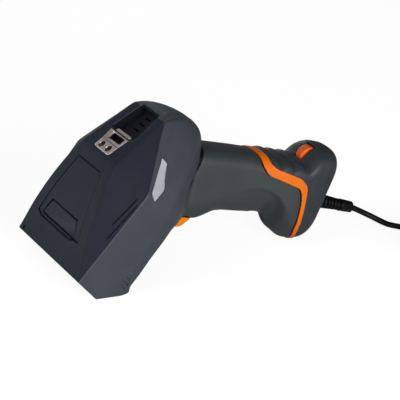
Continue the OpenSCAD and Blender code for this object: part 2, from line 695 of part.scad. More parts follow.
boot_length = 38;
boot_rib_from = 9;
boot_ribs = 6;
boot_rib_pitch = 3;
boot_profile = concat([[0, 9]],
    [for (i = [0 : boot_ribs - 1]) let (r = 5 - 0.18 * i, z = boot_rib_from + boot_rib_pitch * i)
        each [[r, z], [r - 0.1, z + 1.9], [r - 1, z + 1.9], [r - 1, z + boot_rib_pitch]]],
    [[4.2, boot_rib_from + boot_ribs * boot_rib_pitch], [3.7, boot_length], [0, boot_length]]);
module strain_relief() {
    color([0.05, 0.05, 0.06]) in_grip() boot_frame() {
        difference() {
            union() {
                translate([0, 0, -5.4]) cylinder(h = 1.9, r = 7, $fn = 20);
                translate([0, 0, -3.5]) cylinder(h = 12.5, r = 4.8, $fn = 24);
                rotate_extrude($fn = 16) polygon(boot_profile);
            }
            translate([0, 0, -10]) cylinder(h = boot_length + 8, r = 1.2, $fn = 16);
        }
    }
}

module tube(path, r, sides) {
    n = len(path);
    loft([for (i = [0 : n - 1]) let (
        way = path[min(i + 1, n - 1)] - path[max(i - 1, 0)], t = way / norm(way),
        u = cross([0, 0, 1], t) / norm(cross([0, 0, 1], t)), v = cross(t, u))
        [for (j = [0 : sides - 1]) path[i] + r * (u * cos(360 * j / sides) + v * sin(360 * j / sides))]]);
}
function curved(p, i, t) = let (a = p[max(i - 1, 0)], b = p[i], c = p[i + 1], d = p[min(i + 2, len(p) - 1)])
    0.5 * (2 * b + (c - a) * t + (2 * a - 5 * b + 4 * c - d) * t ^ 2 + (3 * b - a - 3 * c + d) * t ^ 3);
function smooth_path(p, steps) = concat(
    [for (i = [0 : len(p) - 2], k = [0 : steps - 1]) curved(p, i, k / steps)], [p[len(p) - 1]]);

// The lead's route over the floor, and the tail of it, over the coil to the plug that lies on it.
lead_route = [[-126, 0, 14.2], [-129, 0, 13.1], [-137.5, 1.4, 8.9], [-144, 4.6, 5.8], [-148.6, 8.4, 3.6],
              [-152, 12, 2.4], [-157, 17, 2.1], [-164, 24, 2.1], [-171, 31, 2.1], [-179, 39, 2.1],
              [-187.4, 47.6, 2.1]];
coil_at = [-169, 66, 0];
tail_route = [[-190.3, 51.1, 15.2], [-192.9, 55.8, 16.6], [-194.5, 61, 17.8], [-195, 66, 18.3],
              [-194.1, 70.6, 18.6], [-191.5, 74.5, 19.1], [-187.6, 77.1, 19.8], [-183, 78, 20.3],
              [-181.6, 78, 20.3]];
plug_from = [-182, 78, 20.3];

module lead() {
    color([0.05, 0.05, 0.06]) tube(smooth_path(lead_route, 2), lead_d / 2, 8);
}
module lead_tail() {
    color([0.05, 0.05, 0.06]) tube(smooth_path(tail_route, 2), lead_d / 2, 8);
}
coil_inner = coil_mean_d / 2 - coil_turns_wide * lead_d / 2;
coil_outer = coil_mean_d / 2 + coil_turns_wide * lead_d / 2;
coil_height = coil_layers * lead_d;
module coil_body() {
    rotate_extrude($fn = 28) translate([coil_inner, 0])
        offset(r = lead_d / 2, $fn = 8) offset(delta = -lead_d / 2)
            square([coil_outer - coil_inner, coil_height]);
}
tie_thick = 0.8;
tie_width = 7;
module tie_block(grow) {
    rotate([0, 0, -50]) translate([coil_inner - grow, -tie_width / 2, tie_thick - 0.4 - grow])
        cube([coil_outer - coil_inner + 2 * grow, tie_width, coil_height - 2 * tie_thick + 0.8 + 2 * grow]);
}
module lead_coil() {
    color([0.05, 0.05, 0.06]) translate(coil_at) difference() {
        coil_body();
        difference() {
            tie_block(0.4);
            tie_block(-0.4);
        }
    }
}
module lead_tie() {
    color([0.12, 0.12, 0.13]) translate(coil_at) difference() {
        tie_block(0.4);
        tie_block(-0.4);
    }
}

plug_length = 30;
plug_size = [15.6, 8.4];
module at_plug() {
    translate(plug_from) rotate([90, 0, 90]) children();
}
module plug_body() {
    color([0.06, 0.06, 0.07]) at_plug() difference() {
        union() {
            cylinder(h = 11, r1 = 3, r2 = 3.6, $fn = 16);
            translate([0, 0, 10]) linear_extrude(plug_length) offset(r = 1.4, $fn = 12)
                square([plug_size[0] - 2.8, plug_size[1] - 2.8], center = true);
        }
        translate([0, 0, -1]) cylinder(h = 3, r = lead_d / 2, $fn = 16);
        translate([-6, -2.25, plug_length + 4]) cube([12, 4.5, 7]);
    }
}
module plug_shell() {
    color([0.75, 0.76, 0.78]) at_plug() difference() {
        translate([-6, -2.25, plug_length + 4]) cube([12, 4.5, 18]);
        translate([-5.7, -1.95, plug_length + 5]) cube([11.4, 3.9, 18]);
        for (s = [-1, 1]) translate([s * 2.9 - 1.2, -5, plug_length + 13]) cube([2.4, 10, 2.2]);
    }
}
module plug_tongue() {
    color([0.1, 0.2, 0.6]) at_plug() translate([-5.7, -1.95, plug_length + 5]) cube([11.4, 1.9, 16]);
}

// Inner end of the lead, from the strain relief to its connector.
inner_route = [[13.2, 0, -93.4], [12.6, 0, -89], [9, 0, -85.6], [2, 0, -84.6], [-2.6, 0, -82.6], [-3.4, 0, -79]];
module inner_lead() {
    color([0.05, 0.05, 0.06]) in_grip() tube(smooth_path(inner_route, 2), 1.9, 8);
}

at_rest() head_top_cover();
at_rest() head_body_shell();
at_rest() label_plate();
at_rest() channel_tray();
at_rest() hang_bracket();
at_rest() bracket_screws();
at_rest() status_lights();
at_rest() head_screws();
at_rest() front_bezel();
at_rest() front_window();
at_rest() diffuser_hood();
at_rest() led_board();
at_rest() leds();
at_rest() lens_barrel();
at_rest() lens_glass();
at_rest() camera_module();
at_rest() engine_frame();
at_rest() main_board();
at_rest() processor_can();
at_rest() buzzer();
at_rest() trigger();
at_rest() trigger_bracket();
at_rest() trigger_pin();
at_rest() trigger_spring();
at_rest() trigger_switch();
at_rest() grip_shell();
at_rest() colour_band();
at_rest() back_cover();
at_rest() grip_board();
at_rest() ribbon_cable();
at_rest() vibration_motor();
at_rest() lead_socket();
at_rest() lead_connector();
at_rest() inner_lead();
at_rest() release_button();
at_rest() release_spring();
at_rest() strain_relief();
lead();
lead_coil();
lead_tie();
lead_tail();
plug_body();
plug_shell();
plug_tongue();
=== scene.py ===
import math

import bmesh
import bpy
import numpy as np
from mathutils import Matrix, Vector


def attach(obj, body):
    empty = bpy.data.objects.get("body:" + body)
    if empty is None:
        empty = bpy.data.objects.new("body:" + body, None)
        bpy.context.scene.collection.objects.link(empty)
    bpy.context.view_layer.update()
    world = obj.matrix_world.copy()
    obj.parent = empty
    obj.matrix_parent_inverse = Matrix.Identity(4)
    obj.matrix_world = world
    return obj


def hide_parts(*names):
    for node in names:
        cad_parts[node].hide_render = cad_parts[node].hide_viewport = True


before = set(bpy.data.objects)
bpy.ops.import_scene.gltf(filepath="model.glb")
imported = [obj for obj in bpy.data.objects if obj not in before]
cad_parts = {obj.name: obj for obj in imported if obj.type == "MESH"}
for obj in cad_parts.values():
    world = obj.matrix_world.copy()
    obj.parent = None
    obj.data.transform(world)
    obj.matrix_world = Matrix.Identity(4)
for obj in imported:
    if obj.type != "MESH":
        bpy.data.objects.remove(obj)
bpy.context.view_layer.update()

# Frames: the scanner is drawn in millimetres in its own frame and in that of its grip, as the CAD is.
MM = 0.001
REST_PITCH, REST_X = 44, 32.8
KNEE_X, KNEE_TOP, KNEE_SHOULDER = 6.9, 49.3, 34.2
TAIL_X, TAIL_TOP = -33.8, 42.9
RIM_X, RIM_TOP, CHIN_Z = 74.5, 24.2, 5.5
FLOOR_Z = CHIN_Z * math.cos(math.radians(REST_PITCH)) - RIM_X * math.sin(math.radians(REST_PITCH))
GRIP_PLACE, GRIP_LEAN = (-30, 0, -12), 33.5
RELEASE_PLACE, RELEASE_LEAN = (-19.6, 0, -83.6), -44
BOOT_PLACE, BOOT_LEAN = (13.6, 0, -98.96), 175.2
SIDES = (1, "left"), (-1, "right")
WHITE = 1, 1, 1, 1


def shift(x, y, z):
    return Matrix.Translation((x, y, z))


def turn(axis, degrees):
    return Matrix.Rotation(math.radians(degrees), 4, axis)


ON_FLOOR = Matrix.Scale(MM, 4)
AT_REST = ON_FLOOR @ shift(REST_X, 0, -FLOOR_Z) @ turn("Y", REST_PITCH)
IN_GRIP = AT_REST @ shift(*GRIP_PLACE) @ turn("Y", GRIP_LEAN)
DECK_ANGLE = math.degrees(math.atan((KNEE_TOP - TAIL_TOP) / (KNEE_X - TAIL_X)))
REAR_DECK = AT_REST @ shift(KNEE_X, 0, KNEE_TOP) @ turn("Y", -DECK_ANGLE)
RELEASE = IN_GRIP @ shift(*RELEASE_PLACE) @ turn("Y", RELEASE_LEAN)
BOOT = IN_GRIP @ shift(*BOOT_PLACE) @ turn("Y", BOOT_LEAN)


# Camera, floor and light

def new_object(name, data):
    made = bpy.data.objects.new(name, data)
    bpy.context.scene.collection.objects.link(made)
    return made


def add_camera():
    data = bpy.data.cameras.new("camera")
    data.lens, data.sensor_width = 159.4, 36
    data.clip_start, data.clip_end = 0.05, 20
    camera = new_object("camera", data)
    place = Matrix.Translation((0.55093, 0.91258, 0.48210))
    right = Vector((-0.86826, 0.48939, 0.08131))
    up = Vector((-0.12457, -0.37372, 0.91914))
    camera.matrix_world = place @ Matrix((right, up, right.cross(up))).transposed().to_4x4()
    bpy.context.scene.camera = camera


def add_area(name, place, aim, size, power, colour=(1, 1, 1)):
    data = bpy.data.lights.new(name, "AREA")
    data.shape, data.size, data.energy, data.color = "DISK", size, power, colour
    lamp = new_object(name, data)
    lamp.location = place
    lamp.rotation_euler = (Vector(aim) - Vector(place)).to_track_quat("-Z", "Y").to_euler()


def wired(tree, kind, *values):
    """The first output of a new node, whose inputs in turn are linked to a socket or set to a value."""
    node = tree.nodes.new(kind)
    for socket, value in zip(node.inputs, values):
        if isinstance(value, bpy.types.NodeSocket):
            tree.links.new(value, socket)
        else:
            socket.default_value = value
    return node.outputs[0]


def maths(tree, operation, *values):
    out = wired(tree, "ShaderNodeMath", *values)
    out.node.operation = operation
    return out


def spread(tree, source, span, low, high):
    """The source's span, spread from low to high."""
    return wired(tree, "ShaderNodeMapRange", source, *span, low, high)


def add_world():
    """White to the camera and through the window. To the rest a soft sky, darker above and at the tail."""
    world = bpy.data.worlds.new("studio")
    bpy.context.scene.world = world
    world.use_nodes = True
    tree = world.node_tree
    tree.nodes.clear()
    path = tree.nodes.new("ShaderNodeLightPath").outputs
    seen = maths(tree, "MAXIMUM", path["Is Camera Ray"], path["Is Transmission Ray"])
    axes = tree.nodes.new("ShaderNodeSeparateXYZ")
    tree.links.new(tree.nodes.new("ShaderNodeTexCoord").outputs["Generated"], axes.inputs[0])
    sky = spread(tree, axes.outputs["Z"], (0.05, 0.65), 0.7, 0.1)
    dark_end = spread(tree, axes.outputs["X"], (-0.6, 0.1), 0.12, 1)
    soft = wired(tree, "ShaderNodeBackground", WHITE, maths(tree, "MULTIPLY", sky, dark_end))
    white = wired(tree, "ShaderNodeBackground", WHITE, 1)
    out = tree.nodes.new("ShaderNodeOutputWorld")
    tree.links.new(wired(tree, "ShaderNodeMixShader", seen, soft, white), out.inputs["Surface"])


def add_floor():
    """White paper that takes a soft shadow. It glows to the camera, and a little to what mirrors it."""
    mesh = bpy.data.meshes.new("floor")
    mesh.from_pydata([(-6, -6, 0), (6, -6, 0), (6, 6, 0), (-6, 6, 0)], [], [(0, 1, 2, 3)])
    paper = bpy.data.materials.new("white paper")
    paper.use_nodes = True
    tree = paper.node_tree
    tree.nodes.clear()
    diffuse = wired(tree, "ShaderNodeBsdfDiffuse", (0.8, 0.8, 0.8, 1))
    path = tree.nodes.new("ShaderNodeLightPath").outputs
    mirrored = maths(tree, "MULTIPLY", path["Is Glossy Ray"], 0.3)
    bright = maths(tree, "MULTIPLY_ADD", path["Is Camera Ray"], 1.26, mirrored)
    glow = wired(tree, "ShaderNodeEmission", WHITE, bright)
    out = tree.nodes.new("ShaderNodeOutputMaterial")
    tree.links.new(wired(tree, "ShaderNodeMixShader", 0.72, diffuse, glow), out.inputs["Surface"])
    mesh.materials.append(paper)
    new_object("floor", mesh)


add_camera()
add_world()
add_floor()
add_area("key", (0, 1.45, 0.4), (0, 0, 0.05), 0.9, 16.6)
add_area("fill", (-1.2, 0.9, 0.5), (-0.05, 0, 0.04), 0.8, 0.8)
add_area("rim", (-0.35, -1.1, 0.3), (-0.05, 0, 0.06), 0.5, 1)
add_area("nose", (0.95, 0.15, 0.98), (0.05, 0, 0.04), 0.7, 2.8)
add_area("sheen", (0.5, -0.3, 0.12), (0.09, 0, 0.02), 0.2, 0.3, (0.82, 0.91, 1))
bpy.context.scene.view_settings.view_transform = "Standard"


# Materials

NOISE_SPAN = 0.3, 0.7


def linear(code):
    """A colour written as in a picture, such as 2a2e37, as linear light."""
    parts = [int(code[i:i + 2], 16) / 255 for i in (0, 2, 4)]
    return [c / 12.92 if c <= 0.04045 else ((c + 0.055) / 1.055) ** 2.4 for c in parts] + [1]


def new_material():
    """A material, its node tree, its surface's inputs, and the place of a point on its piece."""
    material = bpy.data.materials.new("finish")
    material.use_nodes = True
    tree = material.node_tree
    where = tree.nodes.new("ShaderNodeTexCoord").outputs["Object"]
    return material, tree, tree.nodes["Principled BSDF"].inputs, where


def noise(tree, where, grain, detail):
    """Noise whose grains are about that many millimetres across."""
    texture = tree.nodes.new("ShaderNodeTexNoise")
    texture.inputs["Scale"].default_value = 1 / (grain * MM)
    texture.inputs["Detail"].default_value = detail
    tree.links.new(where, texture.inputs["Vector"])
    return texture.outputs["Fac"]


def add_grain(tree, surface, grains, rough, unevenness, depth):
    """The grains as a little more or less gloss, and as bumps of that many millimetres."""
    gloss = spread(tree, grains, NOISE_SPAN, rough - unevenness, rough + unevenness)
    tree.links.new(gloss, surface["Roughness"])
    bump = tree.nodes.new("ShaderNodeBump")
    bump.inputs["Strength"].default_value = 1
    bump.inputs["Distance"].default_value = depth * MM
    tree.links.new(grains, bump.inputs["Height"])
    tree.links.new(bump.outputs["Normal"], surface["Normal"])


def moulded(code, rough, grain=0.5, depth=0.02, mottle=0.08, coat=0, specular=0.5):
    """Moulded plastic or rubber: fine bumps from its mould, and a slightly cloudy colour and gloss."""
    material, tree, surface, where = new_material()
    tint = tree.nodes.new("ShaderNodeMix")
    tint.data_type = "RGBA"
    for end, share in (("A", 1 - mottle), ("B", 1 + mottle)):
        tint.inputs[end].default_value = [min(1, c * share) for c in linear(code)[:3]] + [1]
    tree.links.new(spread(tree, noise(tree, where, 14, 4), NOISE_SPAN, 0, 1), tint.inputs["Factor"])
    tree.links.new(tint.outputs["Result"], surface["Base Color"])
    surface["Specular IOR Level"].default_value = specular
    surface["Coat Weight"].default_value = coat
    surface["Coat Roughness"].default_value = 0.3
    add_grain(tree, surface, noise(tree, where, grain, 3), rough, 0.05, depth)
    return material


def metal(code, rough, brushed=0):
    """Plated or bright metal, with streaks along X where it is brushed."""
    material, tree, surface, where = new_material()
    streaks = tree.nodes.new("ShaderNodeMapping")
    streaks.inputs["Scale"].default_value = (1, 1 + 14 * brushed, 1 + 14 * brushed)
    tree.links.new(where, streaks.inputs["Vector"])
    surface["Base Color"].default_value = linear(code)
    surface["Metallic"].default_value = 1
    add_grain(tree, surface, noise(tree, streaks.outputs["Vector"], 2, 2), rough, 0.08, 0.003)
    return material


def clear(code):
    """Clear glass or acrylic with a trace of unevenness."""
    material, tree, surface, where = new_material()
    surface["Base Color"].default_value = linear(code)
    surface["Transmission Weight"].default_value = 1
    surface["IOR"].default_value = 1.49
    tree.links.new(spread(tree, noise(tree, where, 20, 1), NOISE_SPAN, 0.03, 0.05), surface["Roughness"])
    return material


VIVID = dict(mottle=0.03, depth=0.012)
MATERIALS = dict(
    deck_plastic=moulded("252c39", 0.5, specular=0.2),
    label_black=moulded("232933", 0.4, grain=0.3, depth=0.005, specular=0.2),
    shell_plastic=moulded("3f474e", 0.5),
    grip_plastic=moulded("3b4143", 0.46),
    cover_plastic=moulded("32383d", 0.46),
    black_plastic=moulded("10121a", 0.5, specular=0.3),
    orange_plastic=moulded("ff7b12", 0.42, specular=0.35, **VIVID),
    # The trigger's orange is lighter and yellower than the band's: partly its own tone, partly painted light
    # that makes up for the shade on its toe.
    trigger_orange_lightened=moulded("ff9014", 0.42, specular=0.35, **VIVID),
    button_orange=moulded("ff6a22", 0.36, specular=0.4, **VIVID),
    light_diffuser=moulded("bec4cc", 0.3, mottle=0.2, depth=0.01, coat=0.4),
    white_plastic=moulded("e8e8e5", 0.5),
    black_rubber=moulded("0d0d10", 0.6, specular=0.15),
    lead_rubber=moulded("0b0b0d", 0.45, mottle=0.05, specular=0.22),
    board_green=moulded("0d5b3d", 0.4, mottle=0.2),
    led_lens=moulded("f5efd2", 0.2, coat=0.6),
    ribbon_film=moulded("d99c46", 0.3),
    plug_tongue_blue=moulded("2846a0", 0.4),
    window_glass=clear("e6eef2"),
    plated_steel=metal("efe5df", 0.4, 0.6),
    screw_steel=metal("946f58", 0.3),
    steel=metal("c3c5c9", 0.28, 0.3),
    cast_alloy=metal("b0b2b6", 0.5),
)
for finish_name, made in MATERIALS.items():
    made.name = finish_name


# Meshes

def mesh_piece(name, points, faces, place):
    """A closed piece in its place, with its faces turned outwards."""
    mesh = bpy.data.meshes.new(name)
    mesh.from_pydata([place @ Vector(p) for p in points], [], faces)
    made = bmesh.new()
    made.from_mesh(mesh)
    bmesh.ops.recalc_face_normals(made, faces=made.faces)
    if made.calc_volume(signed=True) < 0:
        bmesh.ops.reverse_faces(made, faces=made.faces)
    made.to_mesh(mesh)
    made.free()
    return new_object(name, mesh)


def loft(name, rings, place):
    """A closed solid through rings that all have the same number of points."""
    count = len(rings[0])
    last = count * (len(rings) - 1)
    faces = [[a + j, a + (j + 1) % count, a + count + (j + 1) % count, a + count + j]
             for a in range(0, last, count) for j in range(count)]
    faces += [list(range(count)), list(range(last, last + count))]
    return mesh_piece(name, [p for ring in rings for p in ring], faces, place)


def prism(name, outline, low, high, place, along="Z"):
    """An outline drawn as (X, Y) and extruded along Z, or as (X, Z) along Y."""
    rings = [[(x, y, h) if along == "Z" else (x, h, y) for x, y in outline] for h in (low, high)]
    return loft(name, rings, place)


def block(name, low, high, place):
    (x0, y0, z0), (x1, y1, z1) = low, high
    return prism(name, [(x0, y0), (x1, y0), (x1, y1), (x0, y1)], z0, z1, place)


AXIS = 0.01


def lathe(name, profile, place, segments=48):
    """Turns (radius, height) points about Z. The profile starts and ends near the axis."""
    turns = [math.tau * i / segments for i in range(segments)]
    return loft(name, [[(r * math.cos(a), r * math.sin(a), h) for a in turns] for r, h in profile], place)


def combine(piece, operation, *tools):
    """Cuts, joins or intersects the piece with each tool in turn, and removes the tools."""
    for tool in tools:
        step = piece.modifiers.new("step", "BOOLEAN")
        step.operation, step.solver, step.object = operation, "MANIFOLD", tool
    graph = bpy.context.evaluated_depsgraph_get()
    done = bpy.data.meshes.new_from_object(piece.evaluated_get(graph), depsgraph=graph)
    piece.modifiers.clear()
    piece.data = done
    for tool in tools:
        bpy.data.objects.remove(tool)
    return piece


def cut(piece, *tools):
    return combine(piece, "DIFFERENCE", *tools)


def within(piece, tool):
    return combine(piece, "INTERSECT", tool)


SAME_POINT, SAME_FACE, SHARP_EDGE = 0.002 * MM, math.radians(1.5), math.radians(30)


def softened(node, width, name):
    """A copy of a CAD node with its sharp edges rounded, to stand for it."""
    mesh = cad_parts[node].data.copy()
    made = bmesh.new()
    made.from_mesh(mesh)
    bmesh.ops.remove_doubles(made, verts=made.verts, dist=SAME_POINT)
    bmesh.ops.dissolve_limit(made, angle_limit=SAME_FACE, verts=made.verts, edges=made.edges)
    sharp = [e for e in made.edges if len(e.link_faces) == 2 and e.calc_face_angle(0) > SHARP_EDGE]
    bmesh.ops.bevel(made, geom=sharp, offset=width * MM, segments=3, profile=0.5, affect="EDGES",
                    clamp_overlap=True)
    made.to_mesh(mesh)
    made.free()
    return new_object(name, mesh)


def dress(piece, slot, body="scanner", replaces=(), smooth=32, finish=None):
    """Gives a piece its finish, body, smooth shading and the CAD nodes that it stands for."""
    piece.data.materials.clear()
    piece.data.materials.append(MATERIALS[finish or slot])
    piece.data.shade_smooth()
    piece.data.set_sharp_from_angle(angle=math.radians(smooth))
    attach(piece, body)
    if replaces:
        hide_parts(*replaces)


def track(knots, values, places):
    """A smooth curve through the values at the knots, with no overshoot, read at the places."""
    x, y, at = (np.array(a, float) for a in (knots, values, places))
    step = np.diff(x)
    rise = np.diff(y) / step
    slope = np.concatenate(([rise[0]], np.zeros(len(x) - 2), [rise[-1]]))
    for i in range(1, len(x) - 1):
        if rise[i - 1] * rise[i] > 0:
            a, b = 2 * step[i] + step[i - 1], step[i] + 2 * step[i - 1]
            slope[i] = (a + b) / (a / rise[i - 1] + b / rise[i])
    i = np.clip(np.searchsorted(x, at) - 1, 0, len(x) - 2)
    t = (at - x[i]) / step[i]
    return ((1 + 2 * t) * (1 - t) ** 2 * y[i] + t * (1 - t) ** 2 * step[i] * slope[i]
            + t * t * (3 - 2 * t) * y[i + 1] + t * t * (t - 1) * step[i] * slope[i + 1])


def bend(a, c, b, reach, steps):
    """A corner at c between a and b as a short curve."""
    a, b, c = Vector(a), Vector(b), Vector(c)
    p = c + (a - c) * min(reach / (a - c).length, 0.45)
    q = c + (b - c) * min(reach / (b - c).length, 0.45)
    return [p * (1 - t) ** 2 + c * 2 * t * (1 - t) + q * t * t for t in (i / steps for i in range(steps + 1))]


def eased(points, reach, steps):
    """A closed outline with its corners eased, all by one reach or each by its own."""
    count = len(points)
    reaches = reach if isinstance(reach, list) else [reach] * count
    return [p for i in range(count)
            for p in bend(points[i - 1], points[i], points[(i + 1) % count], reaches[i], steps)]


def stacked(name, layers, reach, steps, place):
    """A solid through (height, corners) layers from below, with its upright edges eased."""
    return loft(name, [[(p.x, p.y, height) for p in eased(corners, reach, steps)]
                       for height, corners in layers], place)


# Lead: its route over the floor, its stored coil and its tail to the plug, as one cord.
LEAD_ROUTE = [(-126, 0, 14.2), (-129, 0, 13.1), (-137.5, 1.4, 8.9), (-144, 4.6, 5.8), (-148.6, 8.4, 3.6),
              (-152, 12, 2.4), (-157, 17, 2.1), (-164, 24, 2.1), (-171, 31, 2.1), (-179, 39, 2.1),
              (-187.4, 47.6, 2.1)]
TAIL_ROUTE = [(-190.3, 51.1, 15.2), (-192.9, 55.8, 16.6), (-194.5, 61, 17.8), (-195, 66, 18.3),
              (-194.1, 70.6, 18.6), (-191.5, 74.5, 19.1), (-187.6, 77.1, 19.8), (-183, 78, 20.3),
              (-181.6, 78, 20.3)]
LEAD_D = 4
COIL_X, COIL_Y, COIL_MIDDLE, COIL_WIDE, COIL_LAYERS = -169, 66, 22, 3, 4
COIL_FROM, COIL_STEP, SECTOR = 224.8, 15, 60


def coil_places():
    """(turned so far, radius, height) where each step of the winding ends: out, in or up a layer."""
    turned, radius, height = 0, COIL_MIDDLE + (COIL_WIDE - 1) / 2 * LEAD_D, LEAD_D / 2 + 0.1
    inward = -LEAD_D
    places = [(turned, radius, height)]
    for layer in range(COIL_LAYERS):
        for turn_number in range(COIL_WIDE - 1):
            turned += 360 if turn_number or layer == 0 else 360 - SECTOR
            radius += inward
            places.append((turned, radius, height))
        inward = -inward
        if layer < COIL_LAYERS - 1:
            turned += 360 - SECTOR
            height += LEAD_D
            places.append((turned, radius, height))
    return places


def coil_points():
    """The winding's points. Each step of it is made in the last sector before its end."""
    places = coil_places()
    points = []
    for angle in np.arange(COIL_STEP, places[-1][0] + 0.1, COIL_STEP):
        radius, height = places[0][1:]
        for turned, to_radius, to_height in places[1:]:
            share = min(max((angle - turned + SECTOR) / SECTOR, 0), 1)
            share = share * share * (3 - 2 * share)
            radius += (to_radius - radius) * share
            height += (to_height - height) * share
        around = math.radians(COIL_FROM - angle)
        points.append((COIL_X + radius * math.cos(around), COIL_Y + radius * math.sin(around), height))
    return points


def add_lead():
    points = [Vector(p) for p in LEAD_ROUTE + coil_points() + TAIL_ROUTE]
    curve = bpy.data.curves.new("lead_cord", "CURVE")
    curve.dimensions = "3D"
    curve.bevel_depth, curve.bevel_resolution, curve.resolution_u = LEAD_D / 2 * MM, 5, 6
    curve.use_fill_caps = True
    spline = curve.splines.new("BEZIER")
    spline.bezier_points.add(len(points) - 1)
    for i, (knot, p) in enumerate(zip(spline.bezier_points, points)):
        before, after = points[max(i - 1, 0)], points[min(i + 1, len(points) - 1)]
        way = (after - before).normalized()
        knot.co = p * MM
        knot.handle_left = (p - way * (p - before).length / 3) * MM
        knot.handle_right = (p + way * (after - p).length / 3) * MM
    piece = new_object("lead_cord", curve)
    curve.materials.append(MATERIALS["lead_rubber"])
    length = sum((b - a).length for a, b in zip(points, points[1:])) * MM
    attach(piece, "scanner")
    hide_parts("lead", "lead_coil", "lead_tail")
    return piece, round(length, 2)


lead, lead_length = add_lead()


# Head

RIM_WIDTH, KNEE_WIDTH, DECK_WIDTH, TAIL_WIDTH = 88.6, 97.6, 45.4, 40.6
DECK_CROWN, DECK_BULGE, HEAD_WALL, PART_GAP, FACET_DISH = 3.2, 2, 2.4, 0.14, 0.045
# How far the deck's edge lies within and above the shoulder at the rim and at the tail.
RIM_EDGE_IN, RIM_EDGE_UP, TAIL_EDGE_IN, TAIL_EDGE_UP = 2.4, 0.5, 1.6, 0.8


def mix(a, b, t):
    return a + (b - a) * t


def deck_z(x):
    f = (x - KNEE_X) / (RIM_X - KNEE_X)
    return mix(KNEE_TOP, RIM_TOP + RIM_EDGE_UP, f) + DECK_CROWN * 4 * f * (1 - f)


def front_row(x, foot, band, belly):
    f = (x - KNEE_X) / (RIM_X - KNEE_X)
    edge = mix(DECK_WIDTH, RIM_WIDTH - RIM_EDGE_IN, f) / 2 + DECK_BULGE * f * (1 - f)
    shoulder = mix(KNEE_WIDTH, RIM_WIDTH, f) / 2, mix(KNEE_SHOULDER, RIM_TOP, f)
    return [x, (edge, deck_z(x)), shoulder, foot, band, belly]


def rear_row(x, foot, band, belly):
    f = (x - TAIL_X) / (KNEE_X - TAIL_X)
    edge = mix(TAIL_WIDTH - TAIL_EDGE_IN, DECK_WIDTH, f) / 2, mix(TAIL_TOP, KNEE_TOP, f)
    shoulder = mix(TAIL_WIDTH, KNEE_WIDTH, f) / 2, mix(TAIL_TOP - TAIL_EDGE_UP, KNEE_SHOULDER, f)
    return [x, edge, shoulder, foot, band, belly]


# One section a row: X, then deck edge, shoulder, wall foot, band foot and belly as (half width, height).
HEAD_ROWS = [
    front_row(RIM_X, (44.6, -10.6), (42.4, -12.2), (21, -12.6)),
    front_row(57, (45.4, -5.4), (42.6, -11.6), (21, -12.6)),
    front_row(54.5, (45.5, -4.6), (42, -10), (21, -12.8)),
    front_row(47, (45.8, -2.2), (42, -9), (20, -14)),
    front_row(33, (46.6, 2), (42, -6.4), (19, -17)),
    front_row(20, (47.4, 6.4), (42.4, -4), (18, -19.4)),
    front_row(KNEE_X, (47.9, 10.6), (42, -1.4), (17.6, -21.4)),
    rear_row(-4, (45, 12.6), (38.4, 0.6), (17.6, -20.4)),
    rear_row(-14, (39.6, 13), (32.4, 2.4), (17.4, -14)),
    rear_row(-24, (33.4, 12.6), (26, 3), (16, -8.6)),
    rear_row(TAIL_X, (26.4, 11.4), (19.6, 2.4), (13.4, -3.8)),
    [-38.5, (15, 40.8), (18.4, 37.4), (21.5, 10.6), (15, 2.2), (8, -3.6)],
    [-43.2, (11.4, 35.4), (14.8, 30.4), (16.8, 10), (10.6, 3), (5.6, -1.2)],
    [-46.8, (7.8, 28.8), (10.8, 23.6), (12.4, 10), (7.8, 5.4), (4.2, 2.6)],
    [-49.2, (4.6, 21.6), (6.6, 17.8), (7.6, 11.2), (5, 8), (3, 6.4)],
    [-50.2, (2, 16), (2.8, 14.4), (3.2, 11.8), (2.4, 9.8), (1.6, 9.2)],
]
KNEE_ROW, TAIL_ROW = 6, 10
ROW_SPACING, EDGE_PASSES, FACET_PASSES = 1.2, 2, 50


def filled(knots, spacing):
    """The knots with places between them that lie about that far apart."""
    spans = [np.linspace(a, b, max(1, round((b - a) / spacing)), endpoint=False)
             for a, b in zip(knots, knots[1:])]
    return np.concatenate(spans + [knots[-1:]])


def smoothed(values, passes):
    """The values with each but the ends drawn towards its neighbours, that many times."""
    values = np.array(values, float)
    for _ in range(passes):
        values[1:-1] = (values[:-2] + 2 * values[1:-1] + values[2:]) / 4
    return values


def with_facet(row):
    """The section with a point between deck edge and shoulder, where the facet is dished."""
    edge, shoulder = Vector(row[1]), Vector(row[2])
    way = shoulder - edge
    middle = (edge + shoulder) / 2 - Vector((-way.y, way.x)) * FACET_DISH
    return row[:2] + [tuple(middle)] + row[2:]


def fine_rows():
    """The head's rows with smooth rows between them. Deck and shoulder turn sharply at knee and tail."""
    feet = [Vector((row[0], row[3][0])) for row in HEAD_ROWS]
    knots = np.cumsum([0] + [(b - a).length for a, b in zip(feet, feet[1:])])
    at = filled(knots, ROW_SPACING)
    last = len(HEAD_ROWS) - 1
    whole, parts = [(0, last)], [(0, KNEE_ROW), (KNEE_ROW, TAIL_ROW), (TAIL_ROW, last)]

    def read(values, spans):
        out = np.zeros(len(at))
        for a, b in spans:
            inside = (at >= knots[a]) & (at <= knots[b])
            out[inside] = track(knots[a:b + 1], values[a:b + 1], at[inside])
        return out

    x = read([row[0] for row in HEAD_ROWS], whole)
    columns = [[read([row[k][axis] for row in HEAD_ROWS], parts if k < 3 else whole) for axis in (0, 1)]
               for k in range(1, 6)]
    for column in columns[:2]:
        for axis in (0, 1):
            soft = smoothed(column[axis], EDGE_PASSES)
            soft[:2], soft[-2:] = column[axis][:2], column[axis][-2:]
            column[axis] = soft
    rows = [with_facet([x[i]] + [(y[i], z[i]) for y, z in columns]) for i in range(len(at))]
    middles = smoothed([row[2] for row in rows], FACET_PASSES)
    return [row[:2] + [tuple(middle)] + row[3:] for row, middle in zip(rows, middles)]


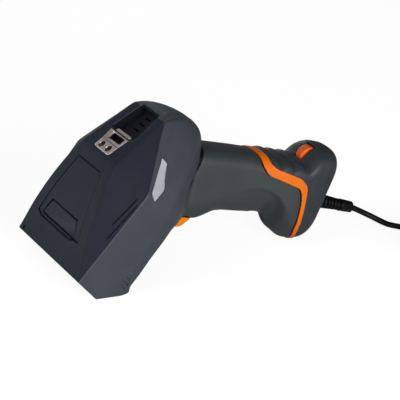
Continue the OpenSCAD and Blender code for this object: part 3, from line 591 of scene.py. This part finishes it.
# For each corner of a section from the deck's edge down: how it moves for an inset of 1, and how far it is
# eased, with what is added at the stern.
CORNER_BITES = [(-0.5, -1), (-0.6, -0.8), (-1, -0.3), (-1, 0.1), (-0.8, 0.6), (-0.4, 1)]
CORNER_EASES = [(1.5, 1.5), (20, 0), (1.3, 3), (2.6, 3), (3, 2), (4, 0)]
STERN_FROM, STERN_SPAN, MOUTH_OUT, MOUTH_DOWN, PARTING_TOP = -10, 30, 9, 3.3, 70
# The rim's rounding: how far back, and how far in.
RIM_ROUND = [(0, 0.4), (0.12, 0.12), (0.4, 0)]


def head_ring(row, inset, steps):
    """One closed section of the head, inset from its surface, with its corners eased when it has steps."""
    half = [(y + by * inset, z + bz * inset) for (y, z), (by, bz) in zip(row[1:], CORNER_BITES)]
    points = half + [(-y, z) for y, z in reversed(half)]
    if steps:
        stern = min(max((STERN_FROM - row[0]) / STERN_SPAN, 0), 1)
        ease = [reach + more * stern for reach, more in CORNER_EASES]
        points = [tuple(p) for p in eased(points, ease + ease[::-1], steps)]
    return [(row[0], y, z) for y, z in points]


def head_outer(name, inset=0):
    rows = fine_rows()
    rings = [head_ring([RIM_X - back] + rows[0][1:], inset + bite, 6) for back, bite in RIM_ROUND]
    rings += [head_ring(row, inset, 6) for row in rows if row[0] < RIM_X - 0.8]
    return loft(name, rings, AT_REST)


def head_hollow():
    """What the head's walls enclose, out through its mouth. The wall is thicker at the stern."""
    rows = [with_facet(row) for row in HEAD_ROWS if row[0] > -44]
    mouth = [(x + MOUTH_OUT, y, z - MOUTH_DOWN) for x, y, z in head_ring(rows[0], HEAD_WALL, 0)]
    rings = [mouth] + [head_ring(row, HEAD_WALL * (1.5 if row[0] < -40 else 1), 0) for row in rows]
    return loft("head_hollow", rings, AT_REST)


def parting_prism(drop):
    """What lies above the line where the top cover meets the body, that far lower."""
    outline = [(RIM_X + 9, RIM_TOP - 1.3 - drop), (KNEE_X, KNEE_SHOULDER - drop),
               (TAIL_X - drop, TAIL_TOP - 0.9 - drop), (TAIL_X - drop, PARTING_TOP), (RIM_X + 9, PARTING_TOP)]
    return prism("parting", outline, -60, 60, AT_REST, along="Y")


# Bracket plate, channel and eye on the rear deck.
PLATE_BEND, PLATE_SEAM, PLATE_END, PLATE_THICK, PLATE_SUNK = -18.4, -9.8, -2.4, 1.2, 0.9
# Half widths at the bend, the seam and the end.
PLATE_HALVES, PLATE_EASES = (11.6, 10.2, 9.8), [0.6, 1, 2, 2, 1, 0.6]
# The eye from below: height, back, front, one side and the other. It flares at its front and one side.
EYE_LAYERS = [(-3, -16.7, -12.3, -6.6, 8.6), (-0.7, -16.7, -12.3, -6.6, 8.6), (0.3, -17, -10.9, -9.1, 9),
              (6, -17, -10.9, -9.1, 9)]
EYE_POCKET = (-20.1, -9.6, -12), (-10.8, 9.6, 0.6)
FLANGE = [(-2.6, -6.6), (0.2, -7), (0.2, 10), (-2.6, 10.8)]
FLANGE_PLACE, FLANGE_LEAN = (PLATE_BEND + 0.4, 0, -0.8), -12
FLANGE_ROOM = (PLATE_BEND - 4.4, -11.2, -4.6), (PLATE_BEND + 1.2, 11.2, 1)
SCREW_PLACES = [REAR_DECK @ shift(-6, 4.4 * side, 0) for side, _ in SIDES]
# Each end's place and half width.
CHANNEL_FRONT, CHANNEL_BACK = (-19.6, 14.6), (-43.6, 11.2)
CHANNEL_DEEP, CHANNEL_RIM, CHANNEL_STEPS = 12, 1.1, 5


def plate_corners(grow):
    ends = PLATE_BEND - grow, PLATE_SEAM, PLATE_END + grow
    half = [(x, y + grow) for x, y in zip(ends, PLATE_HALVES)]
    return half + [(x, -y) for x, y in reversed(half)]


def channel_prism():
    """The channel behind the bracket, whose rim is rounded."""
    turns = [math.pi / 2 * i / CHANNEL_STEPS for i in range(CHANNEL_STEPS + 1)]
    rim = [(CHANNEL_RIM * (math.sin(a) - 1) + 0.02, CHANNEL_RIM * (1 - math.cos(a))) for a in turns]
    layers = []
    for height, grow in [(-CHANNEL_DEEP, 0)] + rim + [(3, CHANNEL_RIM + 0.1)]:
        x, y = CHANNEL_FRONT[0] + grow, CHANNEL_FRONT[1] + grow
        back, back_y = CHANNEL_BACK[0] - grow, CHANNEL_BACK[1] + grow
        layers.append((height, [(x, -y), (back, -back_y), (back, back_y), (x, y)]))
    return stacked("channel", layers, 1.8, 6, REAR_DECK)


def deck_groove(a, b, half, deep, slope=0.3, steps=24):
    """A groove that follows the deck from (x, y) to (x, y), with a slope beside its left side."""
    a, b = Vector(a), Vector(b)
    side = Vector((-(b - a).y, (b - a).x)).normalized()
    lip = half + 0.15
    section = [(-half, -deep), (half, -deep), (half + slope, 0.1), (half + slope, 2), (-lip, 2), (-lip, 0.1),
               (-half, -0.15)]
    rings = []
    for i in range(steps + 1):
        c = a.lerp(b, i / steps)
        rings.append([(c.x + side.x * w, c.y + side.y * w, deck_z(c.x) + h) for w, h in section])
    return loft("groove", rings, AT_REST)


PANEL_TOP, PANEL_FOOT = (15.6, 15.8), (57.6, 28.6)
PANEL_EDGE = [(56.6, -28.9), (59, -23.4), (59, 17.4), (57.2, 23.7), (57.2, 28.4)]
LABEL_TOP, LABEL_FOOT, LABEL_DEEP = (47.2, 17.4), (56.6, 22.4), 1.9


def label_prism(name, grow, low, high, flare):
    """The black plate's outline, grown by that much and by the flare as well at its top."""
    (top, top_half), (foot, foot_half) = LABEL_TOP, LABEL_FOOT
    middle = (top + foot) / 2
    slope = math.degrees(math.atan2(deck_z(top) - deck_z(foot), foot - top))
    half = (foot - top) / 2 / math.cos(math.radians(slope))
    layers = []
    for height, more in ((low, grow), (high - 0.35, grow), (high, grow + flare)):
        x, y, foot_y = half + more, top_half + more, foot_half + more
        layers.append((height, [(-x, -y), (x, -foot_y), (x, foot_y), (-x, y)]))
    return stacked(name, layers, 1.2, 5, AT_REST @ shift(middle, 0, deck_z(middle)) @ turn("Y", slope))


VENT_SLOTS = [((12.6, 44.6), (34.8, 41.6)), ((16, 46.8), (43.6, 43.6))]
VENT_WIDTH = 1.05


def vent_cutter(slot, side):
    a, b = Vector(slot[0]), Vector(slot[1])
    way = (b - a).normalized()
    half = (Vector((-way.y, way.x)) + way) * VENT_WIDTH / 2
    outline = [a - half, b - half, b + half, a + half]
    return prism("vent", [(p.x, side * p.y) for p in outline], 28, 42, AT_REST)


LIGHT_OUTLINE = [(1.7, 26.6), (4.2, 31.4), (12, 32.4), (29.4, 34.2), (28.2, 29.4), (21.8, 27), (11.5, 24.2)]
LIGHT_TURN = math.degrees(math.atan2(KNEE_WIDTH - TAIL_WIDTH, 2 * (KNEE_X - TAIL_X)))
LIGHT_FROM = 2


def grown(outline, by):
    """A clockwise outline with each corner moved outwards."""
    out = []
    for i, point in enumerate(outline):
        a, b, c = Vector(outline[i - 1]), Vector(point), Vector(outline[(i + 1) % len(outline)])
        n1, n2 = (Vector((-way.y, way.x)).normalized() for way in (b - a, c - b))
        n = (n1 + n2).normalized()
        out.append(tuple(b + n * by / max(n.dot(n1), 0.4)))
    return out


def light_prism(name, grow, depth, side):
    """The status light's outline, driven into the wall from outside. Its X runs back from the knee."""
    outline = [(p.x, p.y) for p in eased(grown(LIGHT_OUTLINE, grow), 0.9, 4)]
    outside = AT_REST @ shift(KNEE_X, side * (KNEE_WIDTH / 2 + LIGHT_FROM), 0)
    return prism(name, outline, 0, side * depth, outside @ turn("Z", 180 + side * LIGHT_TURN), along="Y")


# Short upright grooves low on each wall: place, low end and high end.
WALL_RIBS = [(51.8, -2.6, 1.4), (54.8, -4.2, 2.4), (57.8, -4.4, 1)]
RIB_HALF, RIB_FLOOR = 0.7, 44.4


def rib_cutter(x, low, high, side):
    width = mix(KNEE_WIDTH, RIM_WIDTH, (x - KNEE_X) / (RIM_X - KNEE_X)) / 2
    back, front = x - RIB_HALF, x + RIB_HALF
    outline = [(p.x, p.y) for p in eased([(back, low), (front, low), (front, high), (back, high)], 0.6, 3)]
    y = sorted((side * RIB_FLOOR, side * (width + 3)))
    return prism("rib", outline, y[0], y[1], AT_REST, along="Y")


# Narrow slots where the head turns under beside the grip, from end to end, and the way that they face.
SKIRT_SLOTS = [((-17, 25.5, -3), (-23.7, 20.4, -4)), ((-25.2, 19.3, -4.1), (-30.6, 16.6, -3.8))]
SKIRT_OUT, SKIRT_HALF, SKIRT_DEEP = (-0.45, 0.66, -0.6), 1.8, 4


def skirt_slot(a, b, side, name):
    a, b, out = (Vector((p[0], side * p[1], p[2])) for p in (a, b, SKIRT_OUT))
    way = (b - a).normalized()
    across = way.cross(out).normalized() * SKIRT_HALF
    out = across.cross(way).normalized() * SKIRT_DEEP
    rings = [[end - across - out, end + across - out, end + across + out, end - across + out]
             for end in (a, b)]
    return loft("skirt_slot_" + name, rings, AT_REST)


def floor_block():
    """What would lie below the floor."""
    return block("below_floor", (-300, -200, -60), (300, 200, 0.02), ON_FLOOR)


CORNER_NOTCH = (70.8, -38.4, 24), (77, -36.4, 40)
HEAD_SCREW_X, HEAD_SCREW_Y, HEAD_SCREW_Z = 44, 37, -7.6
SCREW_SEAT = [(AXIS, -6), (2.9, -6), (2.9, 0.2), (1.4, 0.4), (1.4, 20), (AXIS, 20)]
TRIGGER_ROOM, TRIGGER_SLOT = [(28, -6.7, -2), (41.4, 6.7, 22)], [(27, -6.5, -6.6), (41, 6.5, 24.8)]


def add_head_top():
    top = within(head_outer("head_top"), parting_prism(0))
    cut(top, head_hollow())
    seat = [(height, plate_corners(0.2)) for height in (-PLATE_SUNK, 5)]
    cut(top, channel_prism(), stacked("plate_seat", seat, PLATE_EASES, 5, REAR_DECK),
        block("flange_room", *FLANGE_ROOM, REAR_DECK), block("eye_pocket", *EYE_POCKET, REAR_DECK))
    (x, y), (foot_x, foot_y) = PANEL_TOP, PANEL_FOOT
    cut(top, deck_groove((x, -y), (foot_x, -foot_y), half=0.4, deep=1.4),
        deck_groove((x, y), (foot_x, foot_y), half=0.1, deep=0.2, slope=0.9),
        deck_groove((x, y - 1.4), (x, -y), half=0.4, deep=1.5, slope=0.2, steps=2),
        label_prism("label_seat", 0.9, -LABEL_DEEP, 0.5, 0.3))
    cut(top, *[deck_groove(a, b, half=0.6, deep=1.9, slope=0.2, steps=3)
               for a, b in zip(PANEL_EDGE, PANEL_EDGE[1:])])
    cut(top, *[vent_cutter(slot, side) for slot in VENT_SLOTS for side, _ in SIDES])
    cut(top, block("corner_notch", *CORNER_NOTCH, AT_REST))
    dress(top, "deck_plastic", replaces=["head_top_cover"])


def add_head_body():
    body = cut(head_outer("head_body"), parting_prism(PART_GAP), head_hollow())
    cut(body, channel_prism(), block("trigger_room", *TRIGGER_ROOM, IN_GRIP), grip_socket())
    cut(body, *[light_prism("light_seat", 0.3, 12, side) for side, _ in SIDES])
    for side, _ in SIDES:
        place = AT_REST @ shift(HEAD_SCREW_X, side * HEAD_SCREW_Y, HEAD_SCREW_Z)
        cut(body, lathe("screw_seat", SCREW_SEAT, place, 32))
    cut(body, *[rib_cutter(*rib, side) for rib in WALL_RIBS for side, _ in SIDES])
    cut(body, *[skirt_slot(a, b, *side) for a, b in SKIRT_SLOTS for side in SIDES], floor_block())
    dress(body, "shell_plastic", replaces=["head_body_shell"])
    # Painted shade: black strips set just under the skin in the skirt slots, standing in for the shade inside
    # them.
    for a, b in SKIRT_SLOTS:
        for side in SIDES:
            slot_shade = within(skirt_slot(a, b, *side), head_outer("slot_shade_skin", 0.06))
            dress(cut(slot_shade, head_hollow(), grip_socket()), "black_rubber")


def add_lights_and_label():
    for side, name in SIDES:
        light = within(light_prism("status_light_" + name, 0, 3.6, side), head_outer("light_skin", 0.2))
        dress(light, "light_diffuser", replaces=["status_lights"])
    dress(label_prism("label_blank", 0, -LABEL_DEEP, -0.1, -0.5), "deck_plastic", replaces=["label_plate"],
          finish="label_black")


# Grip

# A section's place down the grip, its lean, its back, the flat sides' ends, its front, half its width and how
# square its front is.
GRIP_ROWS = [
    (-16, 0, -17, -6, 20, 33.4, 15.6, 2.2), (-2, 0, -17, -6, 20, 33.8, 16.8, 2.2),
    (5.4, 0, -17, -6, 18, 33.6, 16.8, 2.2), (9, 0, -17, -6, 16, 32.8, 16.7, 2.1),
    (14, 0, -17, -6, 14, 30.2, 16.6, 2), (20, 0, -17, -6, 12, 27.4, 16.5, 1.9),
    (28, 0, -16.9, -6, 11, 26.3, 16.5, 1.8), (38, 0, -16.5, -6, 9, 26.3, 16.9, 1.6),
    (48, 0, -16.2, -6, 6.8, 26.1, 17.6, 1.4), (56, 0, -15.9, -6, 6.3, 26, 18.3, 1.35),
    (60.6, 0, -15.6, -6, 7.6, 26.4, 18.8, 1.35), (65.4, -0.03, -15.4, -6, 10.4, 29.4, 19.2, 1.35),
    (69.8, -0.05, -15.4, -6, 14, 33.4, 19.6, 1.4), (73, -0.065, -15.4, -6, 17.5, 35.8, 19.9, 1.5),
    (77.2, -0.08, -15, -6, 19.5, 37.8, 20.1, 1.9), (79, -0.085, -15.4, -6, 20, 38.5, 20.1, 2),
    (80.8, -0.1, -19, -6, 20, 39.3, 20.2, 2), (82.4, -0.105, -22.4, -6.5, 20, 40, 20.2, 2),
    (85, -0.12, -25, -7, 20, 41, 20.2, 2), (88.6, -0.13, -26, -7, 20, 41.5, 20, 2),
    (93.4, -0.14, -25.8, -7, 20, 41.6, 19.6, 2), (96.6, -0.15, -25, -7, 20, 41.2, 19, 2.1),
    (99.4, -0.15, -23.6, -7, 19.5, 39.9, 17.6, 2.1), (100.9, -0.15, -21.6, -7, 18.5, 37.6, 15.4, 2.1),
]
# The grip's back where it has thumb ribs, as (S, P).
RIB_BACKS = [(40, -16.5), (48, -15.6), (50, -16.9), (52.6, -17.6), (55.2, -16.9), (57.4, -14.4),
             (59.6, -16.2), (62.2, -17), (64.8, -16.2), (67, -13.9), (69, -15.8), (71.4, -16.6),
             (73.8, -15.8), (76.2, -13.8)]
GRIP_SPACING, HOLLOW_SPACING, HOLLOW_END = 1.1, 2.5, 98
FLAT_STEPS, ARC_STEPS, CURVE_STEPS, SIDE_POWER, BACK_POWER = 10, 22, 8, 0.95, 0.8
# How deep the foot's rounding goes, and how far below the last row.
FOOT_ROUND = [(0.7, 0.3), (1.7, 0.5)]
# The neck's and the band front's sunk depths, and the wall at the band's front, belong to black strips of
# painted shade that lie under the grip's skin.
GRIP_WALL, BAND_WALL, SHADOW_STRIP_WALL = 2.4, 2, 1.6
BAND_PROUD, BAND_GAP, NECK_SHADE_SUNK, SHADOW_STRIP_SUNK, OVERLAP = 0.5, 1.2, 0.7, 0.3, 0.3
BAND_FRONT = [(-30, 43.8), (-16, 42.4), (-11.6, 43), (-8.6, 45.2), (-5.4, 49.4), (-3.4, 57.3), (0.2, 71.7),
              (1.8, 74.8), (5, 76.9), (12, 78.9), (25.3, 80.1), (31.7, 81.3), (36.4, 83.6), (50, 91)]
BAND_BACK = [(50, 96), (39.8, 88.8), (35.5, 85.7), (27.5, 83.2), (13.9, 82.1), (4.6, 80.9), (-0.3, 79.6),
             (-3.6, 76.7), (-6.2, 71.9), (-8.2, 62.5), (-9.7, 55.4), (-11.6, 51), (-15, 48.6), (-30, 48.6)]
# Where the grip's shell starts below the head, from the back to the front.
NECK_EDGE = [(-50, -1.2), (-15.5, -2.2), (-11.8, -4.3), (-8.8, -5.2), (-5.4, -6), (-1.6, -7.2), (2.4, -9.5),
             (6, -29), (60, -29)]


def grip_columns(places):
    """The places and every other column of the grip's rows, read there."""
    return [places] + [track([row[0] for row in GRIP_ROWS], [row[k] for row in GRIP_ROWS], places)
                       for k in range(1, 8)]


def grip_ring(row, grow, steps):
    """One closed section of the grip, grown by that much, from the front round to the front."""
    s, lean, back, side_back, side_front, front, half, squareness = row
    power, half = 2 / squareness, half + grow
    quarter = [math.pi / 2 * i / steps for i in range(steps + 1)]
    right = [(side_front + (front + grow - side_front) * max(math.cos(a), 0) ** power,
              half * math.sin(a) ** SIDE_POWER) for a in quarter]
    right += [(mix(side_front, side_back, i / FLAT_STEPS), half) for i in range(1, FLAT_STEPS)]
    right += [(side_back - (side_back - back + grow) * math.sin(a) ** BACK_POWER,
               half * max(math.cos(a), 0) ** BACK_POWER) for a in quarter]
    around = right + [(p, -y) for p, y in right[-2:0:-1]]
    return [(p, -y, -(s + lean * p)) for p, y in around]


# The line where the finger space starts on the grip's side, as P, S and the depth of the step before it.
CREASE = [(9.4, 22, 0), (9.2, 28.6, 0.5), (6.1, 38, 0.8), (5.1, 45.6, 1), (5, 50.5, 1.2), (6.3, 55.8, 1.6),
          (8.4, 60.6, 2.8), (11.7, 64.2, 4.4), (15.7, 67.2, 6), (19.9, 68.9, 7), (24.2, 69.4, 7),
          (34, 69.4, 6)]
CREASE_RUN, CREASE_SLOPE, CREASE_FADE = 1.6, 0.4, 8


def creased(ring):
    """Sets the points in front of the crease inwards, by less the further they are from it."""
    points = np.array(ring)
    p, s = points[:, 0], -points[:, 2]
    nearest, depth = np.full(len(p), 99.0), np.zeros(len(p))
    inside = np.zeros(len(p), bool)
    for (p0, s0, d0), (p1, s1, d1) in zip(CREASE, CREASE[1:]):
        dp, ds = p1 - p0, s1 - s0
        t = np.clip(((p - p0) * dp + (s - s0) * ds) / (dp ** 2 + ds ** 2), 0, 1)
        away = np.hypot(p - p0 - t * dp, s - s0 - t * ds)
        closer = away < nearest
        nearest[closer], depth[closer] = away[closer], (d0 + t * (d1 - d0))[closer]
        inside |= (s >= s0) & (s < s1) & (p > p0 + (s - s0) / ds * dp if ds else False)
    rise = np.clip(nearest / (CREASE_RUN + depth * CREASE_SLOPE), 0, 1)
    step = depth * rise * (2 - rise) / (1 + (nearest / CREASE_FADE) ** 2) * inside
    points[:, 1] -= np.sign(points[:, 1]) * np.minimum(step, np.abs(points[:, 1]))
    return [tuple(point) for point in points]


def grip_solid(name, grow=0, ribs=False):
    """The grip, grown by that much. With ribs it starts where they do."""
    places = filled(np.array([row[0] for row in GRIP_ROWS], float), GRIP_SPACING)
    columns = grip_columns(places)
    first, last = RIB_BACKS[0][0], RIB_BACKS[-1][0]
    if ribs:
        inside = (places >= first) & (places <= last)
        columns[2][inside] = track([r[0] for r in RIB_BACKS], [r[1] for r in RIB_BACKS], places[inside])
    rows = [row for row in zip(*columns) if not ribs or row[0] >= first]
    rings = [creased(grip_ring(row, grow, ARC_STEPS)) for row in rows]
    for bite, deeper in FOOT_ROUND:
        rings.append(grip_ring((rows[-1][0] + deeper, *rows[-1][1:]), grow - bite, ARC_STEPS))
    return loft(name, rings, IN_GRIP)


def grip_hollow(wall):
    places = [row[0] for row in GRIP_ROWS if row[0] < HOLLOW_END] + [HOLLOW_END]
    columns = grip_columns(filled(np.array(places, float), HOLLOW_SPACING))
    rings = [creased(grip_ring(row, -wall, 10)) for row in zip(*columns)]
    top = [(p, y, z + 8) for p, y, z in rings[0]]
    return loft("grip_hollow", [top] + rings, IN_GRIP)


def side_prism(outline):
    """A side-view outline of (P, S) points, right through the grip."""
    return prism("side_view", [(p, -s) for p, s in outline], -60, 60, IN_GRIP, along="Y")


def curved(points):
    """An open chain of points as a smooth line through them."""
    out = []
    for i, (a, b) in enumerate(zip(points, points[1:])):
        before, after = points[max(i - 1, 0)], points[min(i + 2, len(points) - 1)]
        for t in (k / CURVE_STEPS for k in range(CURVE_STEPS)):
            out.append(tuple(0.5 * (2 * q + (r - p) * t + (2 * p - 5 * q + 4 * r - w) * t ** 2
                                    + (3 * q - p - 3 * r + w) * t ** 3)
                             for p, q, r, w in zip(before, a, b, after)))
    return out + [tuple(points[-1])]


def grip_socket():
    """The grip's upper end with a gap round it, carried up into the head."""
    rings = [grip_ring(row, 0.3, 14) for row in GRIP_ROWS[:4]]
    rings[0] = [(p, y, z + 12) for p, y, z in rings[0]]
    return loft("grip_socket", rings, IN_GRIP)


RELEASE_LENGTH, RELEASE_WIDTH, RELEASE_TAPER = 12.4, 8.6, 1.4
# Height and gap of the opening round the release button, and how much wider the gap is at the sides.
BUTTON_ROOM, SIDE_GAP = [(-7.4, 0.4), (-0.6, 0.4), (3, 0.8), (7, 0.8)], 3.4


def button_room():
    """The opening round the release button, wider at its top and narrower towards the grip's foot."""
    layers = []
    for height, gap in BUTTON_ROOM:
        x, y = RELEASE_LENGTH / 2 + gap, RELEASE_WIDTH / 2 + gap * SIDE_GAP
        layers.append((height, [(-x, -y), (x, RELEASE_TAPER - y), (x, y - RELEASE_TAPER), (-x, y)]))
    return stacked("button_room", layers, 1, 4, RELEASE)


BOOT_HOLE = [(AXIS, -12), (4.9, -12), (4.9, 18), (AXIS, 18)]
TOE_ROOM = [(28.9, -30), (60, -30), (60, -1), (31, 1.6), (29.4, 0.4)]


def add_grip():
    front, back = curved(BAND_FRONT), curved(BAND_BACK)
    shell_edge = [(p, s - BAND_GAP) for p, s in front]
    cover_edge = [(p, s + PART_GAP) for p, s in back]
    shell_side = NECK_EDGE + [(60, 91)] + shell_edge[::-1] + [(-50, 43.8)]
    shell = within(grip_solid("grip_body"), side_prism(shell_side))
    cut(shell, grip_hollow(GRIP_WALL), block("trigger_slot", *TRIGGER_SLOT, IN_GRIP), side_prism(TOE_ROOM),
        floor_block())
    dress(shell, "grip_plastic", replaces=["grip_shell"])

    # Painted shade: a black strip just under the grip's skin where it meets the head, standing in for the
    # shade under the head's skirt.
    below_head = [(-50, -30), (60, -30)] + [(p, s + OVERLAP) for p, s in NECK_EDGE[::-1]]
    neck_shade = within(grip_solid("neck_shade_strip", -NECK_SHADE_SUNK), side_prism(below_head))
    cut(neck_shade, grip_hollow(BAND_WALL), block("trigger_slot", *TRIGGER_SLOT, IN_GRIP))
    dress(neck_shade, "black_rubber")

    band = within(grip_solid("grip_band", BAND_PROUD), side_prism(front + back))
    cut(band, grip_hollow(BAND_WALL), floor_block())
    dress(band, "orange_plastic", replaces=["colour_band"])

    # Painted shadow: a black strip in the gap in front of the band, standing in for the shadow line along the
    # band's edge.
    between = shell_edge + [(p, s + OVERLAP) for p, s in front[::-1]]
    band_shadow = within(grip_solid("band_shadow_strip", -SHADOW_STRIP_SUNK), side_prism(between))
    dress(cut(band_shadow, grip_hollow(SHADOW_STRIP_WALL), floor_block()), "black_rubber")

    cover_side = [(60, 96)] + cover_edge + [(-50, 49.4), (-50, 130), (60, 130)]
    cover = within(grip_solid("grip_back", ribs=True), side_prism(cover_side))
    cut(cover, grip_hollow(GRIP_WALL), button_room(), lathe("boot_hole", BOOT_HOLE, BOOT), floor_block())
    dress(cover, "cover_plastic", replaces=["back_cover"])


# Controls and small parts
# The trigger's toe is what lies in front of TOE_BACK. Its move grows from none at TOE_HIGH to all at TOE_LOW.
TOE_BACK, TOE_HIGH, TOE_LOW, TOE_MOVE = 28, 7, -1, Vector((0.7, 0, -1.3))
SADDLE_STEPS, SADDLE_FOOT, SADDLE_TOP, SADDLE_ARCH, END_STEPS, END_ROUND = 24, -4.4, 2.1, 15, 2, 0.5


def add_controls():
    lever = softened("trigger", 0.9, "trigger_lever")
    for point in lever.data.vertices:
        local = IN_GRIP.inverted() @ point.co
        share = min(max((TOE_HIGH - local.z) / (TOE_HIGH - TOE_LOW), 0), 1) * (local.x > TOE_BACK)
        point.co = IN_GRIP @ (local + TOE_MOVE * share)
    # The lever takes the lightened orange, which is partly painted light.
    dress(lever, "orange_plastic", "trigger", ["trigger"], finish="trigger_orange_lightened")
    rings = []
    for i in range(SADDLE_STEPS + 1):
        u = RELEASE_LENGTH * (i / SADDLE_STEPS - 0.5)
        middle = SADDLE_STEPS / 2
        end = END_ROUND * max(0, abs(i - middle) - middle + END_STEPS) / END_STEPS
        half = RELEASE_WIDTH / 2 - RELEASE_TAPER * i / SADDLE_STEPS - end
        top = SADDLE_TOP - u * u / SADDLE_ARCH - end
        corners = [(-half, SADDLE_FOOT), (half, SADDLE_FOOT), (half, top), (-half, top)]
        rings.append([(u, p.x, p.y) for p in eased(corners, [0.1, 0.1, 0.9, 0.9], 4)])
    dress(loft("release_saddle", rings, RELEASE), "button_orange", "release", ["release_button"], smooth=50)


SCREW_HOLE = [(AXIS, -3), (1.15, -3), (1.15, -0.8), (2.45, -0.8), (2.45, 0.1), (2.6, 0.5), (2.6, 6),
              (AXIS, 6)]
# The plate's upper edge: how far below its top, and how far out.
PLATE_ROUND = [(0.2, 0), (0, -0.25)]


def add_bracket():
    plate = stacked("bracket_plate", [(-PLATE_SUNK, plate_corners(0))] + [
        (PLATE_THICK - PLATE_SUNK - down, plate_corners(out))
        for down, out in PLATE_ROUND], PLATE_EASES, 5, REAR_DECK)
    bent = REAR_DECK @ shift(*FLANGE_PLACE) @ turn("Y", FLANGE_LEAN)
    flange = stacked("flange", [(0, FLANGE)] + [
        (PLATE_THICK - down, [(x, y + math.copysign(1, y) * out) for x, y in FLANGE])
        for down, out in PLATE_ROUND], 0.8, 3, bent)
    combine(plate, "UNION", flange)
    holes = [lathe("hole", SCREW_HOLE, place, 32) for place in SCREW_PLACES]
    eye = stacked("eye", [(height, [(back, left), (front, left), (front, right), (back, right)])
                          for height, back, front, left, right in EYE_LAYERS], 0.5, 3, REAR_DECK)
    seams = [(PLATE_SEAM, 0.22, -0.5), (PLATE_BEND + 0.2, 0.5, -0.85)]
    cut(plate, eye, *holes, *[block("seam", (x - w, -20, z), (x + w, 20, 3), REAR_DECK) for x, w, z in seams])
    dress(plate, "plated_steel", replaces=["hang_bracket"])
    # Painted shade: black strips laid on the seams' floors, standing in for the shade in the gaps.
    for x, w, z in seams:
        line = block("seam_shade_line", (x - w, -9.6, z + 0.01), (x + w, 9.9, z + 0.4), REAR_DECK)
        dress(line, "black_rubber")


LOBES, LOBE_STEPS = 6, 24


def star(outer, inner):
    """A six-lobed socket's outline."""
    points = []
    for i in range(LOBES * LOBE_STEPS):
        a = math.tau * i / (LOBES * LOBE_STEPS)
        r = mix(inner, outer, 0.5 + 0.5 * math.cos(LOBES * a))
        points.append((r * math.cos(a), r * math.sin(a)))
    return points


SCREW = [(AXIS, -7), (0.9, -7), (1.05, -6.8), (1.05, -0.78), (1.85, -0.78), (1.85, -0.45), (1.6, -0.1),
         (1, 0.1), (AXIS, 0.15)]
# A black ring of painted shade round each screw head, in the gap of its counterbore.
SHADE_RING = [(AXIS, -0.79), (2.42, -0.79), (2.42, 0), (AXIS, 0)]
SHADE_RING_HOLE = [(AXIS, -2), (1.88, -2), (1.88, 2), (AXIS, 2)]


def add_bracket_screws():
    for (_, name), place in zip(SIDES, SCREW_PLACES):
        screw = lathe("bracket_screw_" + name, SCREW, place, 40)
        cut(screw, prism("socket", star(1.1, 0.75), -0.9, 2, place))
        # Painted shade: the black ring in the counterbore's gap.
        shade_ring = lathe("washer_" + name, SHADE_RING, place, 40)
        dress(cut(shade_ring, lathe("shade_ring_hole", SHADE_RING_HOLE, place, 40)), "black_rubber")
        dress(screw, "plated_steel", replaces=["bracket_screws"], finish="screw_steel")


BOOT_LENGTH, RINGS_FROM, RINGS, RING_PITCH, RING_RADIUS, RING_TAPER = 38, 9, 6, 3, 5, 0.18


def add_boot():
    profile = [(AXIS, -5.4), (6.6, -5.4), (7, -5), (7, -3.9), (6.6, -3.5), (4.8, -3.5), (4.8, RINGS_FROM)]
    for i in range(RINGS):
        r, z = RING_RADIUS - RING_TAPER * i, RINGS_FROM + RING_PITCH * i
        profile += [(r - 0.3, z), (r, z + 0.3), (r - 0.1, z + 1.6), (r - 0.4, z + 1.9), (r - 1, z + 2),
                    (r - 1, z + RING_PITCH - 0.1)]
    end = RINGS_FROM + RINGS * RING_PITCH
    profile += [(4.1, end), (4.25, end + 0.4), (3.95, BOOT_LENGTH - 0.5), (3.5, BOOT_LENGTH),
                (AXIS, BOOT_LENGTH)]
    boot = lathe("lead_boot", profile, BOOT)
    dress(boot, "lead_rubber", replaces=["strain_relief"], smooth=50)
    return boot


# The CAD nodes that show as they are, by their finish.
CARRIED = dict(
    black_plastic="channel_tray lens_barrel camera_module buzzer trigger_switch lead_tie",
    black_rubber="front_bezel",
    board_green="led_board main_board grip_board",
    cast_alloy="engine_frame",
    lead_rubber="inner_lead plug_body",
    led_lens="leds",
    plug_tongue_blue="plug_tongue",
    ribbon_film="ribbon_cable",
    steel="head_screws processor_can trigger_bracket trigger_pin trigger_spring vibration_motor "
          "release_spring plug_shell",
    white_plastic="diffuser_hood lead_socket lead_connector",
    window_glass="front_window lens_glass",
)


def dress_carried():
    for slot, nodes in CARRIED.items():
        for node in nodes.split():
            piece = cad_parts[node]
            piece.data.materials.clear()
            piece.data.materials.append(MATERIALS[slot])


add_head_top()
add_head_body()
add_lights_and_label()
add_grip()
add_controls()
add_bracket()
add_bracket_screws()
boot = add_boot()
dress_carried()
